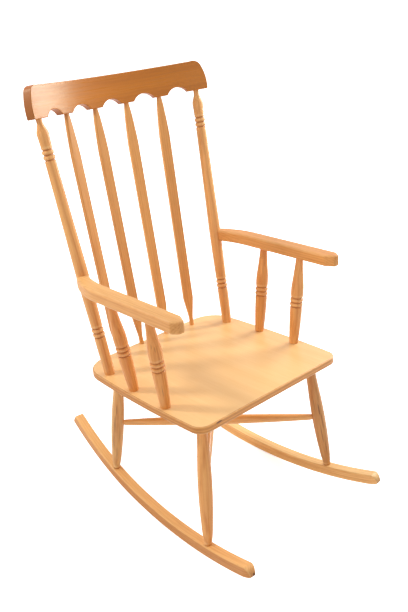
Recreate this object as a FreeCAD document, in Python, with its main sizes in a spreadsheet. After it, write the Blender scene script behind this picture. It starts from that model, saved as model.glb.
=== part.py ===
import FreeCAD, Part
import Sketcher
import math
import os

# Rocking chair: a flat laminated seat, a bow-shaped crest rail over two turned posts and
# four flat spindles, two arms on turned spindles, four turned legs with two crossing
# stretchers, and two bent rockers.
# Row frame: +X to the right of someone who looks at the front of the chair, +Y to the back,
# +Z up from the floor. Lengths in millimetres, angles in degrees.

os.makedirs("parts", exist_ok=True)
doc = FreeCAD.newDocument("rocking_chair")
sheet = doc.addObject("Spreadsheet::Sheet", "Sheet")
V = FreeCAD.Vector

# Driving dimensions: name, value
DIMENSIONS = (
    # how the chair stands
    ("seat_pitch", 6.45),
    ("seat_front_height", 418.7),
    ("seat_front_setback", 240.0),
    # joints
    ("socket_clearance", 0.2),
    # seat
    ("seat_depth", 488.0),
    ("seat_thickness", 20.0),
    ("seat_front_half", 248.0),
    ("seat_middle_half", 251.5),
    ("seat_rear_half", 243.5),
    ("seat_middle_back", 170.0),
    ("seat_front_corner", 34.0),
    ("seat_rear_corner", 76.0),
    ("seat_under_round", 5.0),
    ("seat_top_round", 2.5),
    ("seat_socket_depth", 14.0),
    # rockers
    ("rocker_front_radius", 1224.0),
    ("rocker_rear_radius", 752.0),
    ("rocker_depth", 28.5),
    ("rocker_width", 28.5),
    ("rocker_toe", 4.2),
    ("rocker_half_track", 206.2),
    ("rocker_contact_back", 301.5),
    ("rocker_front_reach", 477.5),
    ("rocker_nose_slope", 20.0),
    ("rocker_nose_height", 9.0),
    ("rocker_nose_toe", 4.0),
    ("rocker_rear_reach", 336.5),
    ("rocker_tail_slant", 14.0),
    ("rocker_edge_round", 3.5),
    # legs
    ("front_foot_reach", 311.5),
    ("rear_foot_reach", 114.5),
    ("front_leg_top_half", 193.0),
    ("front_leg_top_back", 58.0),
    ("rear_leg_top_half", 166.0),
    ("rear_leg_top_back", 426.0),
    ("leg_foot_radius", 9.6),
    ("leg_shin_radius", 14.6),
    ("leg_belly_radius", 17.8),
    ("leg_neck_radius", 12.2),
    ("leg_shin_length", 56.0),
    ("leg_neck_length", 72.0),
    ("leg_foot_tenon", 15.0),
    # stretchers
    ("stretcher_end_radius", 8.2),
    ("stretcher_middle_radius", 13.2),
    ("stretcher_tenon_radius", 6.5),
    ("stretcher_tenon_length", 14.0),
    # posts
    ("post_base_half", 215.2),
    ("post_base_back", 395.0),
    ("post_base_radius", 13.4),
    ("post_ring_height", 106.4),
    ("post_ring_radius", 15.0),
    ("post_swell_height", 290.0),
    ("post_swell_radius", 16.6),
    ("post_waist_radius", 12.7),
    ("post_upper_ring_drop", 99.0),
    ("post_shoulder_drop", 39.0),
    ("post_shoulder_radius", 14.8),
    ("post_cone_drop", 26.0),
    ("post_cone_radius", 12.6),
    ("post_neck_drop", 12.0),
    ("post_neck_radius", 7.6),
    ("post_top_tenon", 22.0),
    ("ring_spacing", 12.5),
    ("ring_depth", 1.6),
    ("ring_half_width", 1.5),
    # crest rail
    ("crest_pad_height", 731.0),
    ("crest_lean", 8.8),
    ("crest_radius", 556.5),
    ("crest_apex_back", 448.8),
    ("crest_thickness", 22.0),
    ("crest_height", 78.0),
    ("crest_half_arc", 287.0),
    ("crest_side_bulge", 0.8),
    ("crest_shoulder_arc", 279.5),
    ("crest_shoulder_drop", 18.0),
    ("crest_top_arc", 250.0),
    ("crest_corner_arc", 271.0),
    ("crest_corner_drop", 4.8),
    ("crest_arch_rise", 17.0),
    ("post_pad_inner", 230.0),
    ("outer_pad_outer", 171.0),
    ("outer_pad_inner", 133.5),
    ("inner_pad_outer", 69.0),
    ("inner_pad_inner", 31.0),
    # back spindles
    ("inner_spindle_arc", 50.5),
    ("outer_spindle_arc", 151.0),
    ("inner_spindle_base_half", 45.6),
    ("inner_spindle_base_back", 475.5),
    ("outer_spindle_base_half", 133.0),
    ("outer_spindle_base_back", 461.0),
    ("post_arc", 260.5),
    ("spindle_width", 29.5),
    ("spindle_thickness", 11.0),
    ("spindle_bevel", 1.6),
    ("spindle_neck", 12.0),
    ("spindle_neck_bevel", 3.2),
    ("spindle_neck_length", 8.0),
    ("spindle_taper_length", 108.0),
    ("spindle_tenon_radius", 4.8),
    ("spindle_top_tenon", 18.0),
    ("spindle_base_tenon", 12.0),
    # arms
    ("arm_top_height", 275.5),
    ("arm_thickness", 30.5),
    ("arm_tilt", 0.5),
    ("arm_front_back", 13.0),
    ("arm_inner_half", 240.0),
    ("arm_outer_half", 280.5),
    ("arm_front_corner", 13.0),
    ("arm_bend_back", 318.0),
    ("arm_end_back", 446.0),
    ("arm_end_outer_half", 243.5),
    ("arm_end_inner_half", 226.0),
    ("arm_edge_round", 5.0),
    ("arm_dowel_radius", 4.0),
    ("arm_dowel_length", 30.0),
    ("arm_dowel_angle", 38.0),
    # arm spindles
    ("front_arm_spindle_half", 230.0),
    ("front_arm_spindle_back", 143.0),
    ("front_arm_spindle_top_half", 257.0),
    ("front_arm_spindle_top_back", 136.0),
    ("rear_arm_spindle_half", 227.7),
    ("rear_arm_spindle_back", 272.0),
    ("rear_arm_spindle_top_half", 263.0),
    ("rear_arm_spindle_top_back", 273.0),
    ("arm_spindle_base_radius", 12.2),
    ("arm_spindle_ring_height", 107.0),
    ("arm_spindle_ring_radius", 16.6),
    ("arm_spindle_swell_rise", 40.0),
    ("arm_spindle_swell_radius", 17.2),
    ("arm_spindle_neck_radius", 9.6),
    ("arm_spindle_base_tenon_radius", 8.0),
    ("arm_spindle_top_tenon_radius", 6.5),
    ("arm_spindle_top_tenon", 14.0),
)

# Shares: how far along, or how much of, the lengths above
BEAD_RISE_SHARE = 0.4
LEG_FOOT_SHARE = 0.02
LEG_SHIN_SHARE = 0.62
LEG_BELLY_SHARE = 0.49
LEG_NECK_SHARE = 0.56
FRONT_STRETCHER_SHARE = 0.48
REAR_STRETCHER_SHARE = 0.47
NOSE_BROW_BACK_SHARE = 0.36
NOSE_BROW_RISE_SHARE = 0.66
NOSE_CHIN_BACK_SHARE = 0.22
NOSE_CHIN_RISE_SHARE = 0.36
POST_BASE_SHARE = 0.7
POST_SWELL_SHARE = 0.3
POST_WAIST_SHARE = 0.45
POST_VASE_SHARE = 0.96
POST_CONE_SHARE = 0.98
CREST_FORE_SHARE = 0.2
CREST_BULGE_SHARE = 0.3
ARM_OUTER_CORNER_SHARE = 1.3
ARM_INNER_CORNER_SHARE = 2.0
ARM_SPINDLE_BASE_SHARE = 0.72
ARM_SPINDLE_SWELL_SHARE = 0.45
ARM_SPINDLE_SHOULDER_SHARE = 0.95
ARM_SPINDLE_NECK_SHARE = 0.42
DOWEL_IN_POST_SHARE = 0.3

row = 0
for name, value in DIMENSIONS:
    row = row + 1
    sheet.set("A%d" % row, name)
    sheet.set("B%d" % row, repr(value))
    sheet.setAlias("B%d" % row, name)
doc.recompute()


# A dimension that carries both its number and the sheet expression behind it
class Dim:
    def __init__(self, number, text):
        self.number = float(number)
        self.text = text

    def join(self, other, sign, number):
        return Dim(number, "(%s %s %s)" % (self.text, sign, text_of(other)))

    def __add__(self, other):
        return self.join(other, "+", self.number + number_of(other))

    def __sub__(self, other):
        return self.join(other, "-", self.number - number_of(other))

    def __mul__(self, other):
        return self.join(other, "*", self.number * number_of(other))

    def __truediv__(self, other):
        return self.join(other, "/", self.number / number_of(other))

    def __neg__(self):
        return Dim(-self.number, "(0 - %s)" % self.text)


def number_of(item):
    return item.number if isinstance(item, Dim) else float(item)


def text_of(item):
    return item.text if isinstance(item, Dim) else repr(float(item))


def size(name):
    return Dim(sheet.get(name), "Sheet." + name)


def val(name):
    return float(sheet.get(name))


# Sketches: closed outlines whose corners are all driven by the sheet
def pin_point(sketch, index, position, point, tag):
    across, along = point
    for kind, item in (("DistanceX", across), ("DistanceY", along)):
        number = number_of(item)
        if not isinstance(item, Dim):
            axis = -2 if kind == "DistanceX" else -1
            sketch.addConstraint(Sketcher.Constraint("PointOnObject", index, position, axis))
            continue
        if number < 0:
            ends = (index, position, -1, 1)
            item = -item
        else:
            ends = (-1, 1, index, position)
        made = sketch.addConstraint(Sketcher.Constraint(kind, *ends, abs(number)))
        label = "%s_%s" % (tag, kind)
        sketch.renameConstraint(made, label)
        sketch.setExpression("Constraints." + label, item.text)


def flat(point):
    return V(number_of(point[0]), number_of(point[1]), 0)


def outline(sketch, corners):
    # corners: (point, via) where via is None for a straight run to the next corner, or a
    # point that the arc to the next corner passes through
    count = len(corners)
    ends = []
    for number in range(count):
        start, via = corners[number]
        stop = corners[(number + 1) % count][0]
        if via is None:
            index = sketch.addGeometry(Part.LineSegment(flat(start), flat(stop)), False)
            ends.append((index, 1, 2))
        else:
            turning = (flat(via) - flat(start)).cross(flat(stop) - flat(via)).z
            if turning > 0:
                arc = Part.Arc(flat(start), flat(via), flat(stop))
                ends.append((sketch.addGeometry(arc, False), 1, 2))
            else:
                arc = Part.Arc(flat(stop), flat(via), flat(start))
                ends.append((sketch.addGeometry(arc, False), 2, 1))
    for number in range(count):
        after = ends[(number + 1) % count]
        here = ends[number]
        sketch.addConstraint(Sketcher.Constraint("Coincident", here[0], here[2], after[0], after[1]))
    for number in range(count):
        pin_point(sketch, ends[number][0], ends[number][1], corners[number][0], "c%d" % number)
        via = corners[number][1]
        if via is not None:
            mark = sketch.addGeometry(Part.Point(flat(via)), True)
            sketch.addConstraint(Sketcher.Constraint("PointOnObject", mark, 1, ends[number][0]))
            pin_point(sketch, mark, 1, via, "v%d" % number)


def new_body(label):
    body = doc.addObject("PartDesign::Body", label)
    body.Label = label
    return body


def plane_of(body, role):
    for item in body.Origin.OriginFeatures:
        if item.Role == role:
            return item
    raise RuntimeError("no plane " + role)


def new_sketch(body, role, corners):
    sketch = body.newObject("Sketcher::SketchObject", body.Name + "_outline")
    sketch.AttachmentSupport = (plane_of(body, role), "")
    sketch.MapMode = "FlatFace"
    doc.recompute()
    outline(sketch, corners)
    doc.recompute()
    return sketch


def pad_body(label, role, corners, length, midplane):
    body = new_body(label)
    sketch = new_sketch(body, role, corners)
    pad = body.newObject("PartDesign::Pad", label + "_pad")
    pad.Profile = sketch
    pad.setExpression("Length", length.text)
    pad.Midplane = midplane
    doc.recompute()
    body.Tip = pad
    return body


def turned_body(label, corners):
    # corners run up the outside of the turning as (radius, height); the axis closes it
    body = new_body(label)
    sketch = new_sketch(body, "XZ_Plane", corners)
    turn = body.newObject("PartDesign::Revolution", label + "_turn")
    turn.Profile = sketch
    turn.ReferenceAxis = (sketch, ["V_Axis"])
    turn.Angle = 360.0
    doc.recompute()
    body.Tip = turn
    return body


def round_edges(body, choose, radius, name):
    tip = body.Tip
    edges = []
    for number, edge in enumerate(tip.Shape.Edges):
        if choose(edge):
            edges.append("Edge%d" % (number + 1))
    fillet = body.newObject("PartDesign::Fillet", name)
    fillet.Base = (tip, edges)
    fillet.setExpression("Radius", radius.text)
    doc.recompute()
    body.Tip = fillet
    return fillet


def any_edge(edge):
    return True


def peg(name, radius, length, placement):
    made = doc.addObject("Part::Cylinder", name)
    made.setExpression("Radius", radius.text)
    made.setExpression("Height", length.text)
    made.Placement = placement
    return made


def cut_from(label, base, tools):
    result = doc.addObject("Part::Cut", label)
    if len(tools) > 1:
        group = doc.addObject("Part::MultiFuse", label + "_tools")
        group.Shapes = tools
        result.Tool = group
    else:
        result.Tool = tools[0]
    result.Base = base
    result.Label = label
    doc.recompute()
    return result


# Seat frame: across, back from the seat's front edge, up from the seat's top face
PITCH = math.radians(val("seat_pitch"))


def on_seat(across, back, up):
    deep = back * math.cos(PITCH) + up * math.sin(PITCH) - val("seat_front_setback")
    high = val("seat_front_height") - back * math.sin(PITCH) + up * math.cos(PITCH)
    return V(across, deep, high)


SEAT_TURN = FreeCAD.Rotation(V(1, 0, 0), -val("seat_pitch"))
SEAT_PLACE = FreeCAD.Placement(on_seat(0, 0, 0), SEAT_TURN)
SEAT_UP = SEAT_TURN.multVec(V(0, 0, 1))


def along(start, stop, side):
    # placement at start with local +Z toward stop and local +X as near side as it can be
    axis = (stop - start).normalize()
    flatwise = (side - axis * side.dot(axis)).normalize()
    third = axis.cross(flatwise)
    turn = FreeCAD.Rotation(flatwise, third, axis, "ZXY")
    return FreeCAD.Placement(start, turn)


ACROSS = V(1, 0, 0)
SIDES = (("left", -1.0), ("right", 1.0))
finished = []


# Turned profiles
def ring_corners(radius, height):
    # three narrow grooves with two beads between them, upward from height
    deep = radius - size("ring_depth")
    half = size("ring_half_width")
    step = size("ring_spacing")
    corners = []
    for number in range(3):
        centre = height + step * number
        corners.append(((radius, centre - half), None))
        corners.append(((deep, centre), None))
        if number < 2:
            bead = (radius + size("ring_depth") * BEAD_RISE_SHARE, centre + step * 0.5)
            corners.append(((radius, centre + half), bead))
        else:
            corners.append(((radius, centre + half), None))
    return corners


def on_rocker(reach):
    # height of the rocker's top edge at a distance in front of (-) or behind (+) the contact
    outer = val("rocker_front_radius") if reach < 0 else val("rocker_rear_radius")
    inner = outer - val("rocker_depth")
    return outer - math.sqrt(inner * inner - reach * reach)


CONTACT_Y = val("rocker_contact_back") - val("seat_front_setback")
TOE = math.radians(val("rocker_toe"))


def rocker_point(side, reach, height):
    across = val("rocker_half_track") - reach * math.sin(TOE)
    return V(side * across, CONTACT_Y + reach * math.cos(TOE), height)


# Legs: local origin at the middle of the foot, +Z up the leg
LEG_ENDS = {}
for side_name, side in SIDES:
    for end_name, reach, half, back in (
        ("front", -val("front_foot_reach"), "front_leg_top_half", "front_leg_top_back"),
        ("rear", val("rear_foot_reach"), "rear_leg_top_half", "rear_leg_top_back"),
    ):
        foot = rocker_point(side, reach, on_rocker(reach))
        top = on_seat(side * val(half), val(back), -val("seat_thickness"))
        LEG_ENDS[end_name + "_" + side_name] = (foot, top)

row = row + 2
DERIVED = {}


def derive(name, number):
    # a length worked out from the driving dimensions, kept in the sheet for the sketches
    global row
    if name in DERIVED:
        return size(name)
    row = row + 1
    sheet.set("A%d" % row, name)
    sheet.set("B%d" % row, repr(float(number)))
    sheet.setAlias("B%d" % row, name)
    doc.recompute()
    DERIVED[name] = True
    return size(name)


for end_name in ("front", "rear"):
    foot, top = LEG_ENDS[end_name + "_left"]
    derive(end_name + "_leg_length", foot.distanceToPoint(top))


def leg_corners(length):
    foot_tenon = size("leg_foot_tenon")
    head = length + size("seat_socket_depth")
    foot = size("leg_foot_radius")
    shin = size("leg_shin_radius")
    neck = size("leg_neck_radius")
    belly_height = length * LEG_BELLY_SHARE
    shoulder = length - size("leg_neck_length")
    shin_via = (foot + (shin - foot) * LEG_SHIN_SHARE, size("leg_shin_length") * 0.5)
    neck_via = (neck + (shin - neck) * LEG_NECK_SHARE, length - size("leg_neck_length") * 0.5)
    return [
        ((0.0, -foot_tenon), None),
        ((foot, -foot_tenon), None),
        ((foot, length * LEG_FOOT_SHARE), shin_via),
        ((shin, size("leg_shin_length")), (size("leg_belly_radius"), belly_height)),
        ((shin, shoulder), neck_via),
        ((neck, length), None),
        ((neck, head), None),
        ((0.0, head), None),
    ]


legs = {}
for key, (foot, top) in LEG_ENDS.items():
    end_name, side_name = key.split("_")
    label = "leg_" + key
    length = size(end_name + "_leg_length")
    body = turned_body(label + "_turning", leg_corners(length))
    body.Placement = along(foot, top, ACROSS)
    legs[key] = body


def leg_point(key, share):
    foot, top = LEG_ENDS[key]
    return foot + (top - foot) * share


# Stretchers: each runs from a front leg to the opposite rear leg, half-lapped where they cross
STRETCHERS = (
    ("stretcher_left_front", "front_left", "rear_right", 1.0),
    ("stretcher_right_front", "front_right", "rear_left", -1.0),
)
start = leg_point("front_left", FRONT_STRETCHER_SHARE)
stop = leg_point("rear_right", REAR_STRETCHER_SHARE)
span = derive("stretcher_span", start.distanceToPoint(stop))
cross_share = start.x / (start.x - stop.x)
STRETCHER_SOCKETS = {}


def stretcher_corners():
    inset = size("leg_belly_radius") - size("stretcher_tenon_length")
    tip = size("stretcher_tenon_radius")
    first = inset
    last = span - inset
    shoulder = size("leg_belly_radius") - size("socket_clearance")
    end = size("stretcher_end_radius")
    return [
        ((0.0, first), None),
        ((tip, first), None),
        ((tip, shoulder), None),
        ((end, shoulder + size("ring_depth") * 2.0), (size("stretcher_middle_radius"), span * 0.5)),
        ((end, span - shoulder - size("ring_depth") * 2.0), None),
        ((tip, span - shoulder), None),
        ((tip, last), None),
        ((0.0, last), None),
    ]


for label, start_key, stop_key, half in STRETCHERS:
    start = leg_point(start_key, FRONT_STRETCHER_SHARE)
    stop = leg_point(stop_key, REAR_STRETCHER_SHARE)
    body = turned_body(label + "_turning", stretcher_corners())
    body.Placement = along(start, stop, V(0, 0, 1))
    crossing = start + (stop - start) * cross_share
    other_front = "front_right" if start_key == "front_left" else "front_left"
    other_rear = "rear_left" if stop_key == "rear_right" else "rear_right"
    other_start = leg_point(other_front, FRONT_STRETCHER_SHARE)
    other_stop = leg_point(other_rear, REAR_STRETCHER_SHARE)
    # the notch takes the half of this stretcher that the other one passes through
    notch = doc.addObject("Part::Box", label + "_notch")
    wide = size("stretcher_middle_radius") * 2.0 + size("socket_clearance") * 2.0
    through = wide * 2.0
    notch.setExpression("Length", through.text)
    notch.setExpression("Width", wide.text)
    notch.setExpression("Height", wide.text)
    turn = along(other_start, other_stop, V(0, 0, 1)).Rotation
    axis = turn.multVec(V(0, 0, 1))
    normal = (V(0, 0, 1) - axis * axis.z).normalize()
    sideways = normal.cross(axis)
    box_turn = FreeCAD.Rotation(axis, sideways, normal, "ZXY")
    lap = -val("socket_clearance") * 0.5
    if half < 0:
        lap = val("socket_clearance") * 0.5 - wide.number
    shift = V(-through.number * 0.5, -wide.number * 0.5, lap)
    notch.Placement = FreeCAD.Placement(crossing + box_turn.multVec(shift), box_turn)
    finished.append(cut_from(label, body, [notch]))
    for key, at, toward in ((start_key, start, stop), (stop_key, stop, start)):
        STRETCHER_SOCKETS[key] = (at, toward)

for key, body in legs.items():
    at, toward = STRETCHER_SOCKETS[key]
    hole_start = at + (toward - at).normalize() * (val("leg_belly_radius") - val("stretcher_tenon_length"))
    tool = peg(
        "leg_%s_socket" % key,
        size("stretcher_tenon_radius") + size("socket_clearance"),
        size("leg_belly_radius") * 2.0,
        along(hole_start, toward, ACROSS),
    )
    finished.append(cut_from("leg_" + key, body, [tool]))


# Rockers: local origin where the rocker touches the floor, +Y to the back, +X outward
def rocker_corners():
    front = size("rocker_front_radius")
    rear = size("rocker_rear_radius")
    deep = size("rocker_depth")

    def at(radius, depth, angle):
        outer = number_of(radius)
        inner = outer - number_of(depth)
        return inner * math.sin(angle), outer - inner * math.cos(angle)

    reach = val("rocker_front_reach")
    slope = val("rocker_nose_slope")
    nose_low = -math.asin((reach - val("rocker_nose_toe")) / front.number)
    nose_high = -math.asin((reach - slope) / (front.number - deep.number))
    tail_low = math.asin(val("rocker_rear_reach") / rear.number)
    tail_high = math.asin((val("rocker_rear_reach") - val("rocker_tail_slant")) / (rear.number - deep.number))
    named = {}
    for tag, radius, depth, angle in (
        ("nose_low", front, 0.0, nose_low),
        ("nose_high", front, deep, nose_high),
        ("front_low_mid", front, 0.0, nose_low * 0.5),
        ("front_high_mid", front, deep, nose_high * 0.5),
        ("rear_low_mid", rear, 0.0, tail_low * 0.5),
        ("rear_high_mid", rear, deep, tail_high * 0.5),
        ("tail_low", rear, 0.0, tail_low),
        ("tail_high", rear, deep, tail_high),
    ):
        y, z = at(radius, depth, angle)
        named[tag] = (derive("rocker_%s_y" % tag, y), derive("rocker_%s_z" % tag, z))
    low_y, low_z = at(front, 0.0, nose_low)
    high_y, high_z = at(front, deep, nose_high)
    tip_z = low_z + val("rocker_nose_height")
    tip = (derive("rocker_nose_tip_y", -reach), derive("rocker_nose_tip_z", tip_z))
    brow = (
        derive("rocker_nose_brow_y", -reach + (high_y + reach) * NOSE_BROW_BACK_SHARE),
        derive("rocker_nose_brow_z", tip_z + (high_z - tip_z) * NOSE_BROW_RISE_SHARE),
    )
    chin = (
        derive("rocker_nose_chin_y", -reach + val("rocker_nose_toe") * NOSE_CHIN_BACK_SHARE),
        derive("rocker_nose_chin_z", low_z + val("rocker_nose_height") * NOSE_CHIN_RISE_SHARE),
    )
    return [
        ((0.0, 0.0), named["rear_low_mid"]),
        (named["tail_low"], None),
        (named["tail_high"], named["rear_high_mid"]),
        ((0.0, deep), named["front_high_mid"]),
        (named["nose_high"], brow),
        (tip, chin),
        (named["nose_low"], named["front_low_mid"]),
    ]


for side_name, side in SIDES:
    label = "rocker_" + side_name
    body = pad_body(label + "_blank", "YZ_Plane", rocker_corners(), size("rocker_width"), True)
    round_edges(body, any_edge, size("rocker_edge_round"), label + "_edges")
    turn = FreeCAD.Rotation(V(0, 0, 1), side * val("rocker_toe"))
    body.Placement = FreeCAD.Placement(rocker_point(side, 0.0, 0.0), turn)
    tools = []
    for end_name in ("front", "rear"):
        foot, top = LEG_ENDS[end_name + "_" + side_name]
        down = (foot - top).normalize()
        tools.append(peg(
            "%s_%s_socket" % (label, end_name),
            size("leg_foot_radius") + size("socket_clearance"),
            size("leg_foot_tenon") * 3.0,
            along(foot + down * val("leg_foot_tenon"), top, ACROSS),
        ))
    finished.append(cut_from(label, body, tools))

# Back: the crest's own frame leans back from the seat
LEAN = math.radians(val("crest_lean"))


def on_back(arc, offset, up):
    # a point on the crest's curve: arc from the middle, offset behind the curve, up the lean
    radius = val("crest_radius")
    angle = arc / radius
    across = (radius + offset) * math.sin(angle)
    sag = radius - (radius + offset) * math.cos(angle)
    deep = val("crest_apex_back") - sag
    back = deep * math.cos(LEAN) + up * math.sin(LEAN)
    high = up * math.cos(LEAN) - deep * math.sin(LEAN)
    return on_seat(across, back, high)


BACK_TURN = FreeCAD.Rotation(V(1, 0, 0), -val("seat_pitch") - val("crest_lean"))
BACK_PLACE = FreeCAD.Placement(on_back(0.0, 0.0, val("crest_pad_height")), BACK_TURN)

# Posts: local origin at the seat's top face, +Z up the post
POST_ENDS = {}
for side_name, side in SIDES:
    base = on_seat(side * val("post_base_half"), val("post_base_back"), 0.0)
    top = on_back(side * val("post_arc"), 0.0, val("crest_pad_height"))
    POST_ENDS[side_name] = (base, top)
post_length = derive("post_length", POST_ENDS["left"][0].distanceToPoint(POST_ENDS["left"][1]))


def post_corners():
    ring = size("post_ring_radius")
    rings = ring_corners(ring, size("post_ring_height"))
    high = post_length - size("post_upper_ring_drop")
    upper = size("post_waist_radius")
    upper_rings = ring_corners(upper + size("ring_depth") * 0.5, high)
    last = high + size("ring_spacing") * 2.0 + size("ring_half_width")
    shoulder = post_length - size("post_shoulder_drop")
    cone = post_length - size("post_cone_drop")
    neck_height = post_length - size("post_neck_drop")
    base = size("post_base_radius")
    swell = size("post_swell_radius")
    lower_top = size("post_ring_height") - size("ring_half_width")
    base_via = (base + (ring - base) * POST_BASE_SHARE, lower_top * 0.5)
    first_up = size("post_ring_height") + size("ring_spacing") * 2.0 + size("ring_half_width")
    swell_height = size("post_swell_height")
    swell_via = (swell - (swell - ring) * POST_SWELL_SHARE, (first_up + swell_height) * 0.5)
    waist_via = (swell - (swell - upper) * POST_WAIST_SHARE, (swell_height + high) * 0.5)
    vase = size("post_shoulder_radius")
    vase_via = (vase * POST_VASE_SHARE, shoulder - size("ring_spacing"))
    cone_via = (vase * POST_CONE_SHARE, (shoulder + cone) * 0.5)
    head = post_length + size("post_top_tenon")
    foot = size("seat_socket_depth")
    corners = [((0.0, -foot), None), ((base, -foot), None), ((base, size("socket_clearance")), base_via)]
    corners.extend(rings[:-1])
    corners.append(((ring, first_up), swell_via))
    corners.append(((swell, swell_height), waist_via))
    corners.extend(upper_rings[:-1])
    corners.append(((upper + size("ring_depth") * 0.5, last), vase_via))
    corners.append(((vase, shoulder), cone_via))
    corners.append(((size("post_cone_radius"), cone), None))
    corners.append(((size("post_neck_radius"), neck_height), None))
    corners.append(((size("post_neck_radius"), head), None))
    corners.append(((0.0, head), None))
    return corners


posts = {}
for side_name, side in SIDES:
    base, top = POST_ENDS[side_name]
    body = turned_body("post_%s_turning" % side_name, post_corners())
    body.Placement = along(base, top, ACROSS)
    posts[side_name] = body

# Back spindles: flat blades whittled to round-cornered necks at both ends
SPINDLES = (
    ("back_spindle_1", -1.0, "outer"),
    ("back_spindle_2", -1.0, "inner"),
    ("back_spindle_3", 1.0, "inner"),
    ("back_spindle_4", 1.0, "outer"),
)
SPINDLE_ENDS = {}
for label, side, kind in SPINDLES:
    base = on_seat(side * val(kind + "_spindle_base_half"), val(kind + "_spindle_base_back"), 0.0)
    arc = side * val(kind + "_spindle_arc")
    wide = val("spindle_width")
    top = on_back(arc, 0.0, val("crest_pad_height"))
    pad = val("crest_pad_height")
    tangent = on_back(arc + wide, 0.0, pad) - on_back(arc - wide, 0.0, pad)
    SPINDLE_ENDS[label] = (base, top, tangent)
for label, side, kind in SPINDLES[2:]:
    base, top, tangent = SPINDLE_ENDS[label]
    derive(kind + "_spindle_length", base.distanceToPoint(top))


def eight_corners(width, thickness, bevel):
    half = width * 0.5
    deep = thickness * 0.5
    return [
        ((half, deep - bevel), None),
        ((half - bevel, deep), None),
        ((-(half - bevel), deep), None),
        ((-half, deep - bevel), None),
        ((-half, -(deep - bevel)), None),
        ((-(half - bevel), -deep), None),
        ((half - bevel, -deep), None),
        ((half, -(deep - bevel)), None),
    ]


def spindle_body(label, length):
    body = new_body(label)
    neck = eight_corners(size("spindle_neck"), size("spindle_neck"), size("spindle_neck_bevel"))
    blade = eight_corners(size("spindle_width"), size("spindle_thickness"), size("spindle_bevel"))
    low = size("spindle_neck_length")
    stations = (
        (neck, Dim(0.0, "0")),
        (neck, low),
        (blade, size("spindle_taper_length")),
        (blade, length - size("spindle_taper_length")),
        (neck, length - low),
        (neck, length),
    )
    sections = []
    for corners, height in stations:
        sketch = new_sketch(body, "XY_Plane", corners)
        if height.number > 0:
            sketch.setExpression("AttachmentOffset.Base.z", height.text)
        sections.append(sketch)
    doc.recompute()
    loft = body.newObject("PartDesign::AdditiveLoft", label + "_loft")
    loft.Profile = sections[0]
    loft.Sections = sections[1:]
    loft.Ruled = True
    doc.recompute()
    body.Tip = loft
    return body


for label, side, kind in SPINDLES:
    base, top, tangent = SPINDLE_ENDS[label]
    length = size(kind + "_spindle_length")
    body = spindle_body(label + "_blade", length)
    body.Placement = along(base, top, tangent)
    full = length + size("spindle_base_tenon") + size("spindle_top_tenon")
    start = base - (top - base).normalize() * val("spindle_base_tenon")
    tenons = peg(label + "_tenons", size("spindle_tenon_radius"), full, along(start, top, tangent))
    made = doc.addObject("Part::Fuse", label)
    made.Base = body
    made.Tool = tenons
    made.Label = label
    doc.recompute()
    finished.append(made)

# Crest rail: a curved board with an arched lower edge, local origin at the middle of its
# lower pads, +Z up the lean, +Y to the back


CREST_FRONT = val("crest_radius") - val("crest_thickness") * 0.5


def crest_plan():
    middle = size("crest_radius")
    front = middle - size("crest_thickness") * 0.5
    rear = middle + size("crest_thickness") * 0.5
    spread = (val("crest_half_arc") + val("crest_thickness")) / CREST_FRONT
    named = {}
    for tag, radius in (("front", front), ("rear", rear)):
        across = derive("crest_%s_end_x" % tag, radius.number * math.sin(spread))
        deep = derive("crest_%s_end_y" % tag, middle.number - radius.number * math.cos(spread))
        named[tag] = (across, deep)
    half_thick = size("crest_thickness") * 0.5
    return [
        ((-named["front"][0], -named["front"][1]), (0.0, -half_thick)),
        ((named["front"][0], -named["front"][1]), None),
        ((named["rear"][0], -named["rear"][1]), (0.0, half_thick)),
        ((-named["rear"][0], -named["rear"][1]), None),
    ]


def crest_elevation(tag, depth):
    # the rail's pattern on a flat plane at depth, drawn so that every cut is radial
    high = size("crest_height")
    rise = size("crest_arch_rise")

    def across(name, arc):
        reach = (val("crest_radius") + depth) * math.tan(arc / CREST_FRONT)
        return derive("crest_%s_%s" % (tag, name), reach)

    wide = across("half", val("crest_half_arc"))
    bulge = across("bulge", val("crest_half_arc") + val("crest_side_bulge"))
    shoulder = (across("shoulder", val("crest_shoulder_arc")), high - size("crest_shoulder_drop"))
    corner_via = (across("corner", val("crest_corner_arc")), high - size("crest_corner_drop"))
    top = across("top", val("crest_top_arc"))
    side_via = (bulge, high * CREST_BULGE_SHARE)
    pads = []
    for name in ("post_pad_inner", "outer_pad_outer", "outer_pad_inner", "inner_pad_outer", "inner_pad_inner"):
        pads.append(across(name, val(name)))
    right = [
        ((top, high), corner_via),
        (shoulder, side_via),
        ((wide, 0.0), None),
        ((pads[0], 0.0), ((pads[0] + pads[1]) * 0.5, rise)),
        ((pads[1], 0.0), None),
        ((pads[2], 0.0), ((pads[2] + pads[3]) * 0.5, rise)),
        ((pads[3], 0.0), None),
        ((pads[4], 0.0), (0.0, rise)),
    ]
    left = [
        ((-pads[4], 0.0), None),
        ((-pads[3], 0.0), (-((pads[2] + pads[3]) * 0.5), rise)),
        ((-pads[2], 0.0), None),
        ((-pads[1], 0.0), (-((pads[0] + pads[1]) * 0.5), rise)),
        ((-pads[0], 0.0), None),
        ((-wide, 0.0), (-side_via[0], side_via[1])),
        ((-shoulder[0], shoulder[1]), (-corner_via[0], corner_via[1])),
        ((-top, high), None),
    ]
    return right + left


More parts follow.
